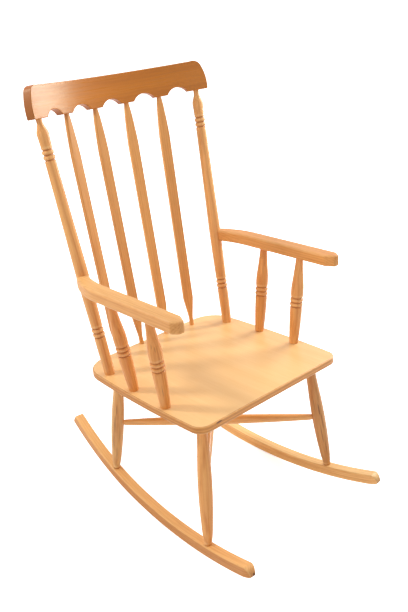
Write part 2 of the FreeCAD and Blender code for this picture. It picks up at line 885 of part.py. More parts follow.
def crest_pattern():
    # a wedge that widens backward, the shape of the saw cuts through the bent board
    body = new_body("crest_face")
    sections = []
    for tag, depth in (("fore", -val("crest_radius") * CREST_FORE_SHARE), ("aft", val("crest_thickness"))):
        sketch = new_sketch(body, "XZ_Plane", crest_elevation(tag, depth))
        sketch.AttachmentOffset = FreeCAD.Placement(V(0, 0, -depth), FreeCAD.Rotation())
        sections.append(sketch)
    doc.recompute()
    loft = body.newObject("PartDesign::AdditiveLoft", "crest_face_loft")
    loft.Profile = sections[0]
    loft.Sections = sections[1:]
    loft.Ruled = True
    doc.recompute()
    body.Tip = loft
    return body


board = pad_body("crest_board", "XY_Plane", crest_plan(), size("crest_height"), False)
face = crest_pattern()
board.Placement = BACK_PLACE
face.Placement = BACK_PLACE
shaped = doc.addObject("Part::Common", "crest_shaped")
shaped.Base = board
shaped.Tool = face
doc.recompute()
tools = []
for label, side, kind in SPINDLES:
    base, top, tangent = SPINDLE_ENDS[label]
    start = top - (top - base).normalize() * val("spindle_top_tenon")
    tools.append(peg(
        "crest_socket_" + label,
        size("spindle_tenon_radius") + size("socket_clearance"),
        size("spindle_top_tenon") * 2.0,
        along(start, top + (top - base), tangent),
    ))
for side_name, side in SIDES:
    base, top = POST_ENDS[side_name]
    start = top - (top - base).normalize() * val("post_top_tenon")
    tools.append(peg(
        "crest_socket_post_" + side_name,
        size("post_neck_radius") + size("socket_clearance"),
        size("post_top_tenon") * 2.0,
        along(start, top + (top - base), ACROSS),
    ))
finished.append(cut_from("crest_rail", shaped, tools))


# Arms: across and back as in the seat's frame, raised to the arm's underside and tilted
# down toward the front about the arm's rear end
ARM_TURN = FreeCAD.Rotation(V(1, 0, 0), val("arm_tilt") - val("seat_pitch"))
ARM_PIVOT = on_seat(0.0, val("arm_end_back"), val("arm_top_height") - val("arm_thickness"))
ARM_PLACE = FreeCAD.Placement(ARM_PIVOT - ARM_TURN.multVec(V(0, val("arm_end_back"), 0)), ARM_TURN)


def bend_middle(name, half, end_half, end_back):
    # the middle of the arc that leaves the arm's straight edge smoothly and reaches the end
    drop = number_of(half) - number_of(end_half)
    run = number_of(end_back) - val("arm_bend_back")
    radius = (drop * drop + run * run) / (drop * 2.0)
    turn = math.asin(run / radius) * 0.5
    across = derive(name + "_half", number_of(half) - radius * (1.0 - math.cos(turn)))
    return across, derive(name + "_back", val("arm_bend_back") + radius * math.sin(turn))


def arm_corners(side):
    inner = size("arm_inner_half")
    outer = size("arm_outer_half")
    corner = size("arm_front_corner")
    front = size("arm_front_back")
    outer_end = (size("arm_end_outer_half"), size("arm_end_back"))
    inner_end = (size("arm_end_inner_half"), size("arm_end_back"))
    heel = (inner_end[0], inner_end[1] - size("post_swell_radius") * 2.0)
    points = [
        ((inner, front + corner * ARM_INNER_CORNER_SHARE), None),
        ((inner + corner, front), None),
        ((outer - corner, front), None),
        ((outer, front + corner * ARM_OUTER_CORNER_SHARE), None),
        ((outer, size("arm_bend_back")), bend_middle("arm_outer_bend", outer, *outer_end)),
        (outer_end, None),
        (inner_end, None),
        (heel, bend_middle("arm_inner_bend", inner, *heel)),
        ((inner, size("arm_bend_back")), None),
    ]
    if side > 0:
        return points
    flipped = []
    for point, via in points:
        other = None if via is None else (-via[0], via[1])
        flipped.append(((-point[0], point[1]), other))
    return flipped


ARM_SPINDLES = (
    ("front", "front_arm_spindle_half", "front_arm_spindle_back",
     "front_arm_spindle_top_half", "front_arm_spindle_top_back"),
    ("rear", "rear_arm_spindle_half", "rear_arm_spindle_back",
     "rear_arm_spindle_top_half", "rear_arm_spindle_top_back"),
)
ARM_SPINDLE_ENDS = {}
for side_name, side in SIDES:
    for end_name, half, back, top_half, top_back in ARM_SPINDLES:
        base = on_seat(side * val(half), val(back), 0.0)
        top = ARM_PLACE.multVec(V(side * val(top_half), val(top_back), 0))
        ARM_SPINDLE_ENDS[end_name + "_" + side_name] = (base, top)
for end_name in ("front", "rear"):
    base, top = ARM_SPINDLE_ENDS[end_name + "_left"]
    derive(end_name + "_arm_spindle_length", base.distanceToPoint(top))


def arm_spindle_corners(length):
    ring = size("arm_spindle_ring_radius")
    base = size("arm_spindle_base_radius")
    neck = size("arm_spindle_neck_radius")
    swell = size("arm_spindle_swell_radius")
    rings = ring_corners(ring, size("arm_spindle_ring_height"))
    lower_top = size("arm_spindle_ring_height") - size("ring_half_width")
    first_up = size("arm_spindle_ring_height") + size("ring_spacing") * 2.0 + size("ring_half_width")
    swell_height = first_up + size("arm_spindle_swell_rise")
    corners = [
        ((0.0, -size("seat_socket_depth")), None),
        ((size("arm_spindle_base_tenon_radius"), -size("seat_socket_depth")), None),
        ((size("arm_spindle_base_tenon_radius"), 0.0), None),
        ((base, size("socket_clearance")), (base + (ring - base) * ARM_SPINDLE_BASE_SHARE, lower_top * 0.5)),
    ]
    corners.extend(rings[:-1])
    swell_via = (swell, first_up + size("arm_spindle_swell_rise") * ARM_SPINDLE_SWELL_SHARE)
    shoulder = ring * ARM_SPINDLE_SHOULDER_SHARE
    neck_via = (neck + (shoulder - neck) * ARM_SPINDLE_NECK_SHARE, (swell_height + length) * 0.5)
    corners.append(((ring, first_up), swell_via))
    corners.append(((shoulder, swell_height), neck_via))
    corners.append(((neck, length - size("socket_clearance")), None))
    corners.append(((size("arm_spindle_top_tenon_radius"), length - size("socket_clearance")), None))
    corners.append(((size("arm_spindle_top_tenon_radius"), length + size("arm_spindle_top_tenon")), None))
    corners.append(((0.0, length + size("arm_spindle_top_tenon")), None))
    return corners


for key, (base, top) in ARM_SPINDLE_ENDS.items():
    end_name, side_name = key.split("_")
    label = "arm_spindle_" + key
    body = turned_body(label, arm_spindle_corners(size(end_name + "_arm_spindle_length")))
    body.Placement = along(base, top, ACROSS)
    finished.append(body)

dowels = []
post_tools = {}
for side_name, side in SIDES:
    label = "arm_" + side_name
    body = pad_body(label + "_blank", "XY_Plane", arm_corners(side), size("arm_thickness"), False)
    round_edges(body, any_edge, size("arm_edge_round"), label + "_edges")
    body.Placement = ARM_PLACE
    tools = []
    base, top = POST_ENDS[side_name]
    tools.append(peg(
        label + "_cope",
        size("post_swell_radius") + size("socket_clearance"),
        post_length,
        along(base, top, ACROSS),
    ))
    for end_name in ("front", "rear"):
        low, high = ARM_SPINDLE_ENDS[end_name + "_" + side_name]
        start = high + (high - low).normalize() * val("arm_spindle_top_tenon")
        tools.append(peg(
            "%s_%s_socket" % (label, end_name),
            size("arm_spindle_top_tenon_radius") + size("socket_clearance"),
            size("arm_spindle_top_tenon") * 2.0,
            along(start, low, ACROSS),
        ))
    # a hidden dowel from inside the arm's curved end into the post
    height = val("arm_top_height") - val("arm_thickness") * 0.5
    share = height / ((top - base).dot(SEAT_UP))
    centre = base + (top - base) * share
    angle = math.radians(val("arm_dowel_angle"))
    outward = SEAT_TURN.multVec(V(side * math.sin(angle), -math.cos(angle), 0))
    begin = centre - outward * (val("arm_dowel_length") * DOWEL_IN_POST_SHARE)
    finish = begin + outward * val("arm_dowel_length")
    dowels.append(peg(
        "arm_dowel_" + side_name,
        size("arm_dowel_radius"),
        size("arm_dowel_length"),
        along(begin, finish, V(0, 0, 1)),
    ))
    hole = peg(
        "arm_dowel_hole_" + side_name,
        size("arm_dowel_radius") + size("socket_clearance"),
        size("arm_dowel_length"),
        along(begin, finish, V(0, 0, 1)),
    )
    tools.append(hole)
    post_tools[side_name] = hole
    finished.append(cut_from(label, body, tools))

for side_name, side in SIDES:
    finished.append(cut_from("post_" + side_name, posts[side_name], [post_tools[side_name]]))

pair = doc.addObject("Part::Compound", "arm_dowels")
pair.Links = dowels
pair.Label = "arm_dowels"
doc.recompute()
finished.append(pair)


# Seat: a laminated panel with bowed sides, local origin at the middle of its front edge
def seat_corners():
    front = size("seat_front_half")
    middle = size("seat_middle_half")
    rear = size("seat_rear_half")
    deep = size("seat_depth")
    small = size("seat_front_corner")
    large = size("seat_rear_corner")
    quarter = 1.0 - math.sqrt(0.5)
    right = [
        ((front - small, 0.0), (front - small * quarter, small * quarter)),
        ((front, small), (middle, size("seat_middle_back"))),
        ((rear, deep - large), (rear - large * quarter, deep - large * quarter)),
        ((rear - large, deep), None),
    ]
    left = [
        ((-(rear - large), deep), (-(rear - large * quarter), deep - large * quarter)),
        ((-rear, deep - large), (-middle, size("seat_middle_back"))),
        ((-front, small), (-(front - small * quarter), small * quarter)),
        ((-(front - small), 0.0), None),
    ]
    return right + left


body = pad_body("seat_panel", "XY_Plane", seat_corners(), size("seat_thickness"), False)
thick = val("seat_thickness")


def is_low_rim(edge):
    return edge.BoundBox.ZMax < thick * 0.5


def is_high_rim(edge):
    return edge.BoundBox.ZMin > thick * 0.5


round_edges(body, is_low_rim, size("seat_under_round"), "seat_under_rim")
round_edges(body, is_high_rim, size("seat_top_round"), "seat_top_rim")
body.Placement = FreeCAD.Placement(on_seat(0.0, 0.0, -thick), SEAT_TURN)
tools = []
for key, (foot, top) in LEG_ENDS.items():
    inward = (top - foot).normalize() * val("seat_socket_depth")
    tools.append(peg(
        "seat_socket_leg_" + key,
        size("leg_neck_radius") + size("socket_clearance"),
        size("seat_socket_depth") * 3.0,
        along(top + inward, foot, ACROSS),
    ))
for side_name, side in SIDES:
    base, top = POST_ENDS[side_name]
    down = (base - top).normalize() * val("seat_socket_depth")
    tools.append(peg(
        "seat_socket_post_" + side_name,
        size("post_base_radius") + size("socket_clearance"),
        size("seat_socket_depth") * 3.0,
        along(base + down, top, ACROSS),
    ))
for label, side, kind in SPINDLES:
    base, top, tangent = SPINDLE_ENDS[label]
    down = (base - top).normalize() * val("spindle_base_tenon")
    tools.append(peg(
        "seat_socket_" + label,
        size("spindle_tenon_radius") + size("socket_clearance"),
        size("spindle_base_tenon") * 3.0,
        along(base + down, top, tangent),
    ))
for key, (base, top) in ARM_SPINDLE_ENDS.items():
    down = (base - top).normalize() * val("seat_socket_depth")
    tools.append(peg(
        "seat_socket_arm_spindle_" + key,
        size("arm_spindle_base_tenon_radius") + size("socket_clearance"),
        size("seat_socket_depth") * 3.0,
        along(base + down, top, ACROSS),
    ))
finished.append(cut_from("seat", body, tools))

# Check every object, then write one file per sub-part
doc.recompute()
for item in doc.Objects:
    state = " ".join(str(word) for word in item.State)
    if "Invalid" in state or "Error" in state:
        raise RuntimeError("object %s is %s" % (item.Label, state))
for item in finished:
    if item.Shape.isNull() or not item.Shape.isValid():
        raise RuntimeError("bad shape: " + item.Label)
for item in finished:
    item.Shape.exportStep("parts/%s.step" % item.Label)
    box = item.Shape.BoundBox
    print(item.Label, len(item.Shape.Solids), round(item.Shape.Volume), box)
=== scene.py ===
# %% [markdown]
# # A wooden rocking chair with a bow-shaped crest rail
#
# The real chair is plain country work in a pale, warm hardwood under a clear satin finish.
# A thick laminated seat carries everything: four turned legs run down from it to two bent
# rockers, two long turned posts and four flat whittled spindles rise from its back edge to a
# curved crest rail, and two arms lie on short turned spindles and butt against the posts.
#
# The construction is already settled in a CAD frame. This script gives every wooden part its
# finished surface: rounded edges, turned grooves, grain that runs the way the wood was cut,
# and a thin coat of lacquer. Lengths are in millimetres until a mesh is made, and in metres
# from there on.

import math

import bmesh
import bpy
from mathutils import Matrix, Vector
from mathutils.geometry import delaunay_2d_cdt


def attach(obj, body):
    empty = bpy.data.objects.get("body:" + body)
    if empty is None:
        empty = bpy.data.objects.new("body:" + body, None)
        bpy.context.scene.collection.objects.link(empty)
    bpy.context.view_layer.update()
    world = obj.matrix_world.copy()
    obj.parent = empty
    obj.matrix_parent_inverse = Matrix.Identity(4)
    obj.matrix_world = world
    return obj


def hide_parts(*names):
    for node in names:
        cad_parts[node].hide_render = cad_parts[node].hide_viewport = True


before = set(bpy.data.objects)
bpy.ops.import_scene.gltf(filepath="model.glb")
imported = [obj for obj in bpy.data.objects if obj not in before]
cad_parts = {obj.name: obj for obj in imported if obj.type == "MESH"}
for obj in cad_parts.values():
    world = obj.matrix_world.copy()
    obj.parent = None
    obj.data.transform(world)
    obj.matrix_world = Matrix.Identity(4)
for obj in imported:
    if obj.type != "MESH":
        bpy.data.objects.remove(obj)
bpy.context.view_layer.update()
print("nodes in the frame:", len(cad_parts))

# %% [markdown]
# ## How the chair stands
#
# A chair like this is set out from its seat. The seat slopes down to the back by a few
# degrees, so the script has one small frame of its own: across, back from the seat's front
# edge, and up from the seat's top face. The back of the chair leans further, and the crest
# rail bends round the sitter, so a second small frame measures along the crest's own curve.
# The arms and the rockers get frames like these where they are made. Measuring in them keeps
# joints together when a size changes.

# %% Seat frame and crest frame
MM = 0.001
PITCH = math.radians(6.45)
SEAT_FRONT_HEIGHT = 418.7
SEAT_FRONT_SETBACK = 240.0
CREST_LEAN = math.radians(8.8)
CREST_RADIUS = 556.5
CREST_APEX_BACK = 448.8
CREST_PAD_HEIGHT = 731.0
SIDES = {"left": -1.0, "right": 1.0}


def on_seat(across, back, up):
    """A point in the room from its place on the sloping seat."""
    deep = back * math.cos(PITCH) + up * math.sin(PITCH) - SEAT_FRONT_SETBACK
    high = SEAT_FRONT_HEIGHT - back * math.sin(PITCH) + up * math.cos(PITCH)
    return Vector((across, deep, high))


def on_crest(arc, behind, up):
    """A point in the room from its place along the bent crest rail."""
    angle = arc / CREST_RADIUS
    across = (CREST_RADIUS + behind) * math.sin(angle)
    sag = CREST_RADIUS - (CREST_RADIUS + behind) * math.cos(angle)
    deep = CREST_APEX_BACK - sag
    back = deep * math.cos(CREST_LEAN) + up * math.sin(CREST_LEAN)
    high = up * math.cos(CREST_LEAN) - deep * math.sin(CREST_LEAN)
    return on_seat(across, back, high)


middle_pad = on_crest(0, 0, CREST_PAD_HEIGHT)
print("middle of the crest's lower edge:", tuple(round(value) for value in middle_pad))

# %% [markdown]
# ## Grain and edge effects shared by all the wood
#
# Four effects come back on several parts, so each is one node group with named inputs.
#
# * **wood_grain** reads a vector whose third axis runs along the grain. Noise stretched along
#   that axis gives broad tone changes, bands give the growth rings, very stretched noise gives
#   the fine streaks, and small dark dashes are the open pores.
# * **edge_wear** turns a painted edge mark into an uneven one, because hands and cloth rub an
#   edge in patches.
# * **plies** draws the thin glue lines and the alternating tone of layers on a laminated edge.
# * **dark_flaw** is a soft-edged long spot, for the mineral streaks and small voids that give
#   real wood away.
#
# The trees are long, so a few small helpers come first. Each adds one node and hands back its
# output, which keeps the formulas below readable.

# %% Node helpers
MM_PER_METRE = 1000.0


def feed(socket, item):
    """An output is linked to the socket, a number or colour is set on the socket itself."""
    if isinstance(item, bpy.types.NodeSocket):
        socket.id_data.links.new(item, socket)
    else:
        socket.default_value = item


def new_node(kind, *items):
    """A node in the tree that the first output among some items belongs to."""
    source = next(item for item in items if isinstance(item, bpy.types.NodeSocket))
    return source.id_data.nodes.new(kind)


def math_node(operation, first, second=0.0, clamp=False):
    node = new_node("ShaderNodeMath", first, second)
    node.operation = operation
    node.use_clamp = clamp
    feed(node.inputs[0], first)
    feed(node.inputs[1], second)
    return node.outputs[0]


def plus(first, second):
    return math_node("ADD", first, second)


def minus(first, second):
    return math_node("SUBTRACT", first, second)


def times(first, second):
    return math_node("MULTIPLY", first, second)


def vector_node(operation, first, second=None):
    """A vector formula. LENGTH gives a number, and SCALE takes one."""
    node = new_node("ShaderNodeVectorMath", first)
    node.operation = operation
    feed(node.inputs[0], first)
    if second is not None:
        feed(node.inputs["Scale" if operation == "SCALE" else 1], second)
    return node.outputs["Value" if operation == "LENGTH" else "Vector"]


def combine(*items):
    """A vector from its three parts."""
    node = new_node("ShaderNodeCombineXYZ", *items)
    for socket, item in zip(node.inputs, items):
        feed(socket, item)
    return node.outputs[0]


def feed_all(node, values):
    for label, item in values.items():
        feed(node.inputs[label], item)


def map_node(value, from_low, from_high, to_low=0.0, to_high=1.0):
    """A value stretched from one range to another, and held inside it."""
    node = new_node("ShaderNodeMapRange", value)
    node.clamp = True
    feed_all(node, {"Value": value, "From Min": from_low, "From Max": from_high})
    feed_all(node, {"To Min": to_low, "To Max": to_high})
    return node.outputs["Result"]


def noise_node(vector, scale, detail, rough=0.5):
    node = new_node("ShaderNodeTexNoise", vector)
    feed_all(node, {"Vector": vector, "Scale": scale, "Detail": detail, "Roughness": rough})
    return node.outputs["Fac"]


def new_group(name, inputs, outputs):
    """A shader group. An input is a number with its start value, or a vector for None."""
    tree = bpy.data.node_groups.new(name, "ShaderNodeTree")
    for label, value in inputs.items():
        kind = "NodeSocketVector" if value is None else "NodeSocketFloat"
        socket = tree.interface.new_socket(label, in_out="INPUT", socket_type=kind)
        if value is not None:
            socket.default_value = value
    for label in outputs:
        tree.interface.new_socket(label, in_out="OUTPUT", socket_type="NodeSocketFloat")
    given = tree.nodes.new("NodeGroupInput").outputs
    result = tree.nodes.new("NodeGroupOutput").inputs
    print("node group", name, "takes", list(inputs), "and gives", list(outputs))
    return tree, given, result


# %% The wood_grain group
# how many patches of each noise fit in a metre across the grain
TONE_SCALE = 26.0
WAVER_SCALE = 45.0
STREAK_SCALE = 230.0
PORE_SCALE = 1500.0
# rings are flat layers that lie aslant in the stick, dark on one side only
RING_SLANT = (0.82, 0.57)
RING_CONTRAST = 1.8
# a pore opens where the finest noise passes a limit, which a larger amount lowers
PORE_LIMIT, PORE_GAIN, PORE_EDGE = 0.78, 0.2, 0.08
RELIEF_STREAKS, RELIEF_RINGS, RELIEF_PORES = 0.5, 0.2, 0.6

grain_group, given, result = new_group(
    "wood_grain",
    {"Vector": None, "Stretch": 0.06, "Ring Width": 4.0, "Ring Waviness": 2.0, "Pore Amount": 0.4},
    ("Tone", "Rings", "Streaks", "Pores", "Relief"),
)
squeeze = combine(1.0, 1.0, given["Stretch"])
squeezed = vector_node("MULTIPLY", given["Vector"], squeeze)
tone = noise_node(squeezed, TONE_SCALE, 3.0)
waver = noise_node(squeezed, WAVER_SCALE, 2.0)
parts = grain_group.nodes.new("ShaderNodeSeparateXYZ")
feed(parts.inputs[0], squeezed)
slant = plus(times(parts.outputs[0], RING_SLANT[0]), times(parts.outputs[1], RING_SLANT[1]))
depth_mm = times(slant, MM_PER_METRE)
ring_number = math_node("DIVIDE", depth_mm, given["Ring Width"])
# slow noise pushes the rings about
pushed = plus(ring_number, times(waver, given["Ring Waviness"]))
wave = math_node("SINE", times(pushed, math.tau))
rings = math_node("POWER", map_node(wave, -1.0, 1.0), RING_CONTRAST)
streaks = noise_node(squeezed, STREAK_SCALE, 4.0, 0.62)
fine = noise_node(squeezed, PORE_SCALE, 2.0, 0.6)
limit = minus(PORE_LIMIT, times(given["Pore Amount"], PORE_GAIN))
pores = map_node(fine, limit, plus(limit, PORE_EDGE))
raised = plus(times(streaks, RELIEF_STREAKS), times(rings, RELIEF_RINGS))
relief = minus(raised, times(pores, RELIEF_PORES))
for socket, item in zip(result, (tone, rings, streaks, pores, relief)):
    feed(socket, item)

# %% The edge_wear and plies groups
PATCH_RANGE = (0.35, 0.62)
WEAR_LEAST = 0.25
PLY_WAVER_SCALE = 9.0
PLY_WAVER = 0.03
# how far from a layer's middle its glue line starts, where 0.5 is the edge
GLUE_EDGE = 0.40

wear_group, given, result = new_group(
    "edge_wear", {"Vector": None, "Edge": 0.0, "Patch Size": 20.0}, ("Wear",)
)
patch_scale = math_node("DIVIDE", MM_PER_METRE, given["Patch Size"])
patches = noise_node(given["Vector"], patch_scale, 4.0)
patches = map_node(patches, *PATCH_RANGE, WEAR_LEAST, 1.0)
feed(result["Wear"], times(patches, given["Edge"]))

ply_group, given, result = new_group(
    "plies", {"Vector": None, "Level": 0.5, "Count": 5.0}, ("Glue Line", "Layer")
)
waver = minus(noise_node(given["Vector"], PLY_WAVER_SCALE, 2.0), 0.5)
level = plus(given["Level"], times(waver, PLY_WAVER))
layers = times(level, given["Count"])
within = minus(math_node("FRACT", layers), 0.5)
from_middle = math_node("ABSOLUTE", within)
feed(result["Glue Line"], map_node(from_middle, GLUE_EDGE, 0.5))
odd = math_node("MODULO", math_node("FLOOR", layers), 2.0)
feed(result["Layer"], odd)

# %% The dark_flaw group
# the mask fades out between these shares of the spot's half size
FLAW_CORE, FLAW_EDGE = 0.6, 1.05
FLAW_SCALE = 2.2

flaw_group, given, result = new_group(
    "dark_flaw", {"Vector": None, "Centre": None, "Half Size": None, "Raggedness": 0.5}, ("Mask",)
)
away = vector_node("SUBTRACT", given["Vector"], given["Centre"])
share = vector_node("DIVIDE", away, given["Half Size"])
ragged = minus(noise_node(share, FLAW_SCALE, 2.0), 0.5)
ragged = times(ragged, given["Raggedness"])
edge_at = plus(vector_node("LENGTH", share), ragged)
mask = map_node(edge_at, FLAW_CORE, FLAW_EDGE, 1.0, 0.0)
feed(result["Mask"], mask)

# %% [markdown]
# ## The finishes
#
# One builder makes all the wood, because it is one species under one lacquer; what differs
# from part to part is how warm it is, how straight the grain, and how deep the gloss. The
# seat is the palest and most even, with its long board grain hardly showing. The crest rail
# is the most orange and the glossiest. The bent parts have straight, close grain, since only
# straight wood bends without breaking. The turned parts show the grain as long narrow
# ellipses, and the thin grooves cut in them are painted darker and redder, so they read as
# fine red-brown lines. Where a board is sawn across, its end grain drinks the lacquer and
# dries darker and dull.

# %% Colour helpers


def linear(red, green, blue):
    """A screen colour, 0 to 255, as the linear colour that the renderer wants."""
    out = []
    for value in (red, green, blue):
        share = value / 255.0
        out.append(share / 12.92 if share <= 0.04045 else ((share + 0.055) / 1.055) ** 2.4)
    return (*out, 1.0)


def mix_colour(factor, first, second):
    node = new_node("ShaderNodeMix", factor)
    node.data_type = "RGBA"
    # a mix node keeps its factor in socket 0 and its two colours in sockets 6 and 7
    for number, item in ((0, factor), (6, first), (7, second)):
        feed(node.inputs[number], item)
    return node.outputs[2]


def mark(tree, name, output="Fac"):
    """A mark that was painted on the mesh, read by the material."""
    node = tree.nodes.new("ShaderNodeAttribute")
    node.attribute_name = name
    return node.outputs[output]


def place_group(group, **values):
    """The outputs of a group that is placed with its named inputs fed."""
    node = new_node("ShaderNodeGroup", *values.values())
    node.node_tree = group
    feed_all(node, {label.replace("_", " "): item for label, item in values.items()})
    return node.outputs


# %% Finish values
# the colour that the turned grooves and the open pores are painted toward
GROOVE_AND_PORE_BROWN = linear(150, 78, 30)
END_GRAIN = linear(150, 90, 50)
PLY_LONG = linear(224, 154, 74)
PLY_CROSS = linear(194, 120, 52)
GLUE_LINE = linear(136, 72, 24)
FLAW_BROWN = linear(98, 58, 32)
PLY_COUNT = 5.0
# the part of each noise that counts, and how far the roughness varies
TONE_RANGE = (0.3, 0.7)
STREAK_RANGE = (0.42, 0.66)
ROUGH_RANGE = (0.3, 0.7)
ROUGH_SPREAD = (-0.04, 0.06)
# how much of each effect shows in the colour
TONE_SHARE = 0.45
PORE_SHARE = 0.5
PLY_SHARE = 0.6
GROOVE_SHARE = 0.64
END_SHARE = 0.6
WORN_SHARE = 0.35
# millimetres
WORN_PATCH = 24.0
# what one step of redness takes out of the green and of the blue
RED_TAKES = (0.12, 0.28)
# what each effect adds to the roughness
GROOVE_ROUGHNESS = 0.15
WORN_ROUGHNESS = -0.05
END_ROUGHNESS = 0.3
BUMP_STRENGTH = 0.25
# metres
BUMP_DEPTH = 0.0003
WHITE = (1.0, 1.0, 1.0, 1.0)
print("groove and pore brown:", [round(value, 3) for value in GROOVE_AND_PORE_BROWN])

# %% Wood builder


def stick_colour(tree, colour):
    """Each stick a little lighter or darker than the next, and a little redder or greyer: partly
    the wood's own tone, partly painted light and shade, which also sets the rims of the crest
    rail, the rockers and the arms apart from their faces.
    """
    toned = vector_node("SCALE", colour, mark(tree, "tone"))
    red = mark(tree, "red")
    left = [minus(1.0, times(red, share)) for share in RED_TAKES]
    return vector_node("MULTIPLY", toned, combine(1.0, *left))


def layered_rim(tree, grain_vector, colour):
    """The layers of a laminated board, on its sawn rim only."""
    level = mark(tree, "level")
    plies = place_group(ply_group, Vector=grain_vector, Level=level, Count=PLY_COUNT)
    layers = mix_colour(times(plies["Layer"], PLY_SHARE), PLY_LONG, PLY_CROSS)
    layers = mix_colour(times(plies["Glue Line"], PLY_SHARE), layers, GLUE_LINE)
    return mix_colour(mark(tree, "rim"), colour, layers)


def build_wood(
    name, colours, stretch, ring_width, rings, streaks, pores, roughness, coat, coat_roughness,
    laminated=False, sawn_ends=False, glare_tint=WHITE, gloss=0.3,
):
    """A wood from its pale, deep and worn colours, its grain and its lacquer."""
    pale, deep, worn = (linear(*colour) for colour in colours)
    material = bpy.data.materials.new(name)
    material.use_nodes = True
    tree = material.node_tree
    shader = tree.nodes["Principled BSDF"].inputs
    grain_vector = mark(tree, "grain", "Vector")
    grain = place_group(
        grain_group,
        Vector=grain_vector, Stretch=stretch, Ring_Width=ring_width, Pore_Amount=pores,
    )
    # broad tone, growth rings and streaks all pull the pale wood toward the deep one
    amount = times(map_node(grain["Tone"], *TONE_RANGE), TONE_SHARE)
    amount = plus(amount, times(grain["Rings"], rings))
    streak = map_node(grain["Streaks"], *STREAK_RANGE)
    amount = plus(amount, times(streak, streaks))
    amount = math_node("MINIMUM", amount, 1.0)
    colour = stick_colour(tree, mix_colour(amount, pale, deep))
    colour = mix_colour(times(grain["Pores"], PORE_SHARE), colour, GROOVE_AND_PORE_BROWN)
    if laminated:
        colour = layered_rim(tree, grain_vector, colour)
    groove = mark(tree, "groove")
    # the turned grooves are painted darker and redder
    colour = mix_colour(times(groove, GROOVE_SHARE), colour, GROOVE_AND_PORE_BROWN)
    edge = mark(tree, "edge")
    wear = place_group(wear_group, Vector=grain_vector, Edge=edge, Patch_Size=WORN_PATCH)["Wear"]
    roughs = [roughness + change for change in ROUGH_SPREAD]
    rough = map_node(grain["Streaks"], *ROUGH_RANGE, *roughs)
    rough = plus(rough, times(groove, GROOVE_ROUGHNESS))
    rough = plus(rough, times(wear, WORN_ROUGHNESS))
    shader["Coat Weight"].default_value = coat
    if sawn_ends:
        end = mark(tree, "end")
        colour = mix_colour(times(end, END_SHARE), colour, END_GRAIN)
        rough = plus(rough, times(end, END_ROUGHNESS))
        face = math_node("SUBTRACT", 1.0, end, clamp=True)
        feed(shader["Coat Weight"], times(face, coat))
    colour = mix_colour(times(wear, WORN_SHARE), colour, worn)
    feed(shader["Base Color"], colour)
    feed(shader["Roughness"], rough)
    bump = tree.nodes.new("ShaderNodeBump")
    dents = {"Strength": BUMP_STRENGTH, "Distance": BUMP_DEPTH, "Height": grain["Relief"]}
    feed_all(bump, dents)
    feed(shader["Normal"], bump.outputs["Normal"])
    shader["Coat Roughness"].default_value = coat_roughness
    shader["Specular IOR Level"].default_value = gloss
    shader["Specular Tint"].default_value = glare_tint
    print("wood", name, "has", len(tree.nodes), "nodes")
    return material


# %% The six woods
SEAT_WOOD = build_wood(
    "seat_wood", [(234, 189, 128), (219, 166, 100), (241, 209, 153)],
    stretch=0.05, ring_width=9.0, rings=0.06, streaks=0.12, pores=0.2,
    roughness=0.45, coat=0.5, coat_roughness=0.35, laminated=True, sawn_ends=True,
)
CREST_WOOD = build_wood(
    "crest_wood", [(203, 121, 37), (170, 92, 26), (224, 152, 64)],
    stretch=0.035, ring_width=7.0, rings=0.12, streaks=0.26, pores=0.4,
    roughness=0.28, coat=0.05, coat_roughness=0.2, sawn_ends=True,
    glare_tint=(0.78, 0.88, 0.64, 1.0), gloss=0.54,
)
BENT_WOOD = build_wood(
    "bent_wood", [(236, 179, 110), (203, 135, 70), (244, 195, 130)],
    stretch=0.04, ring_width=4.6, rings=0.24, streaks=0.34, pores=0.4,
    roughness=0.45, coat=0.2, coat_roughness=0.38, sawn_ends=True,
)
BLADE_WOOD = build_wood(
    "blade_wood", [(233, 171, 102), (199, 129, 64), (240, 189, 116)],
    stretch=0.035, ring_width=5.4, rings=0.24, streaks=0.34, pores=0.4,
    roughness=0.44, coat=0.2, coat_roughness=0.34,
)
TURNED_WOOD = build_wood(
    "turned_wood", [(242, 180, 109), (206, 131, 67), (255, 217, 156)],
    stretch=0.05, ring_width=6.0, rings=0.26, streaks=0.38, pores=0.45,
    roughness=0.40, coat=0.25, coat_roughness=0.24,
)
DOWEL_WOOD = build_wood(
    "dowel_wood", [(232, 188, 138), (214, 160, 108), (240, 200, 152)],
    stretch=0.08, ring_width=3.0, rings=0.15, streaks=0.2, pores=0.5,
    roughness=0.6, coat=0.0, coat_roughness=0.3,
)

# %% Flaws


def add_flaw(material, vector, centre, half_size, strength, raggedness=0.8):
    """A dark streak or void laid over a material's colour at one place."""
    tree = material.node_tree
    base = tree.nodes["Principled BSDF"].inputs["Base Color"]
    below = base.links[0].from_socket
    flaw = place_group(
        flaw_group, Vector=vector, Centre=centre, Half_Size=half_size, Raggedness=raggedness
    )
    amount = times(flaw["Mask"], strength)
    feed(base, mix_colour(amount, below, FLAW_BROWN))
    print("flaw in", material.name, "at", [round(value, 3) for value in centre])


def room_position(material):
    """Where a point is in the room, because every finished mesh sits at the origin."""
    return material.node_tree.nodes.new("ShaderNodeTexCoord").outputs["Object"]


# %% [markdown]
# ## Lines and arcs
#
# Outlines and turned profiles are both lists of corners. A corner may carry a *via* point, and
# then the way to the next corner is the arc through it, as a compass or a bent batten would
# draw it. `trace` walks such a list and returns closely spaced points. Sharp corners are then
# eased with a small curve, as a file or sandpaper leaves them.

# %% Arcs and outlines


def between(first, second, share):
    """The value a share of the way from the first to the second."""
    return first + (second - first) * share


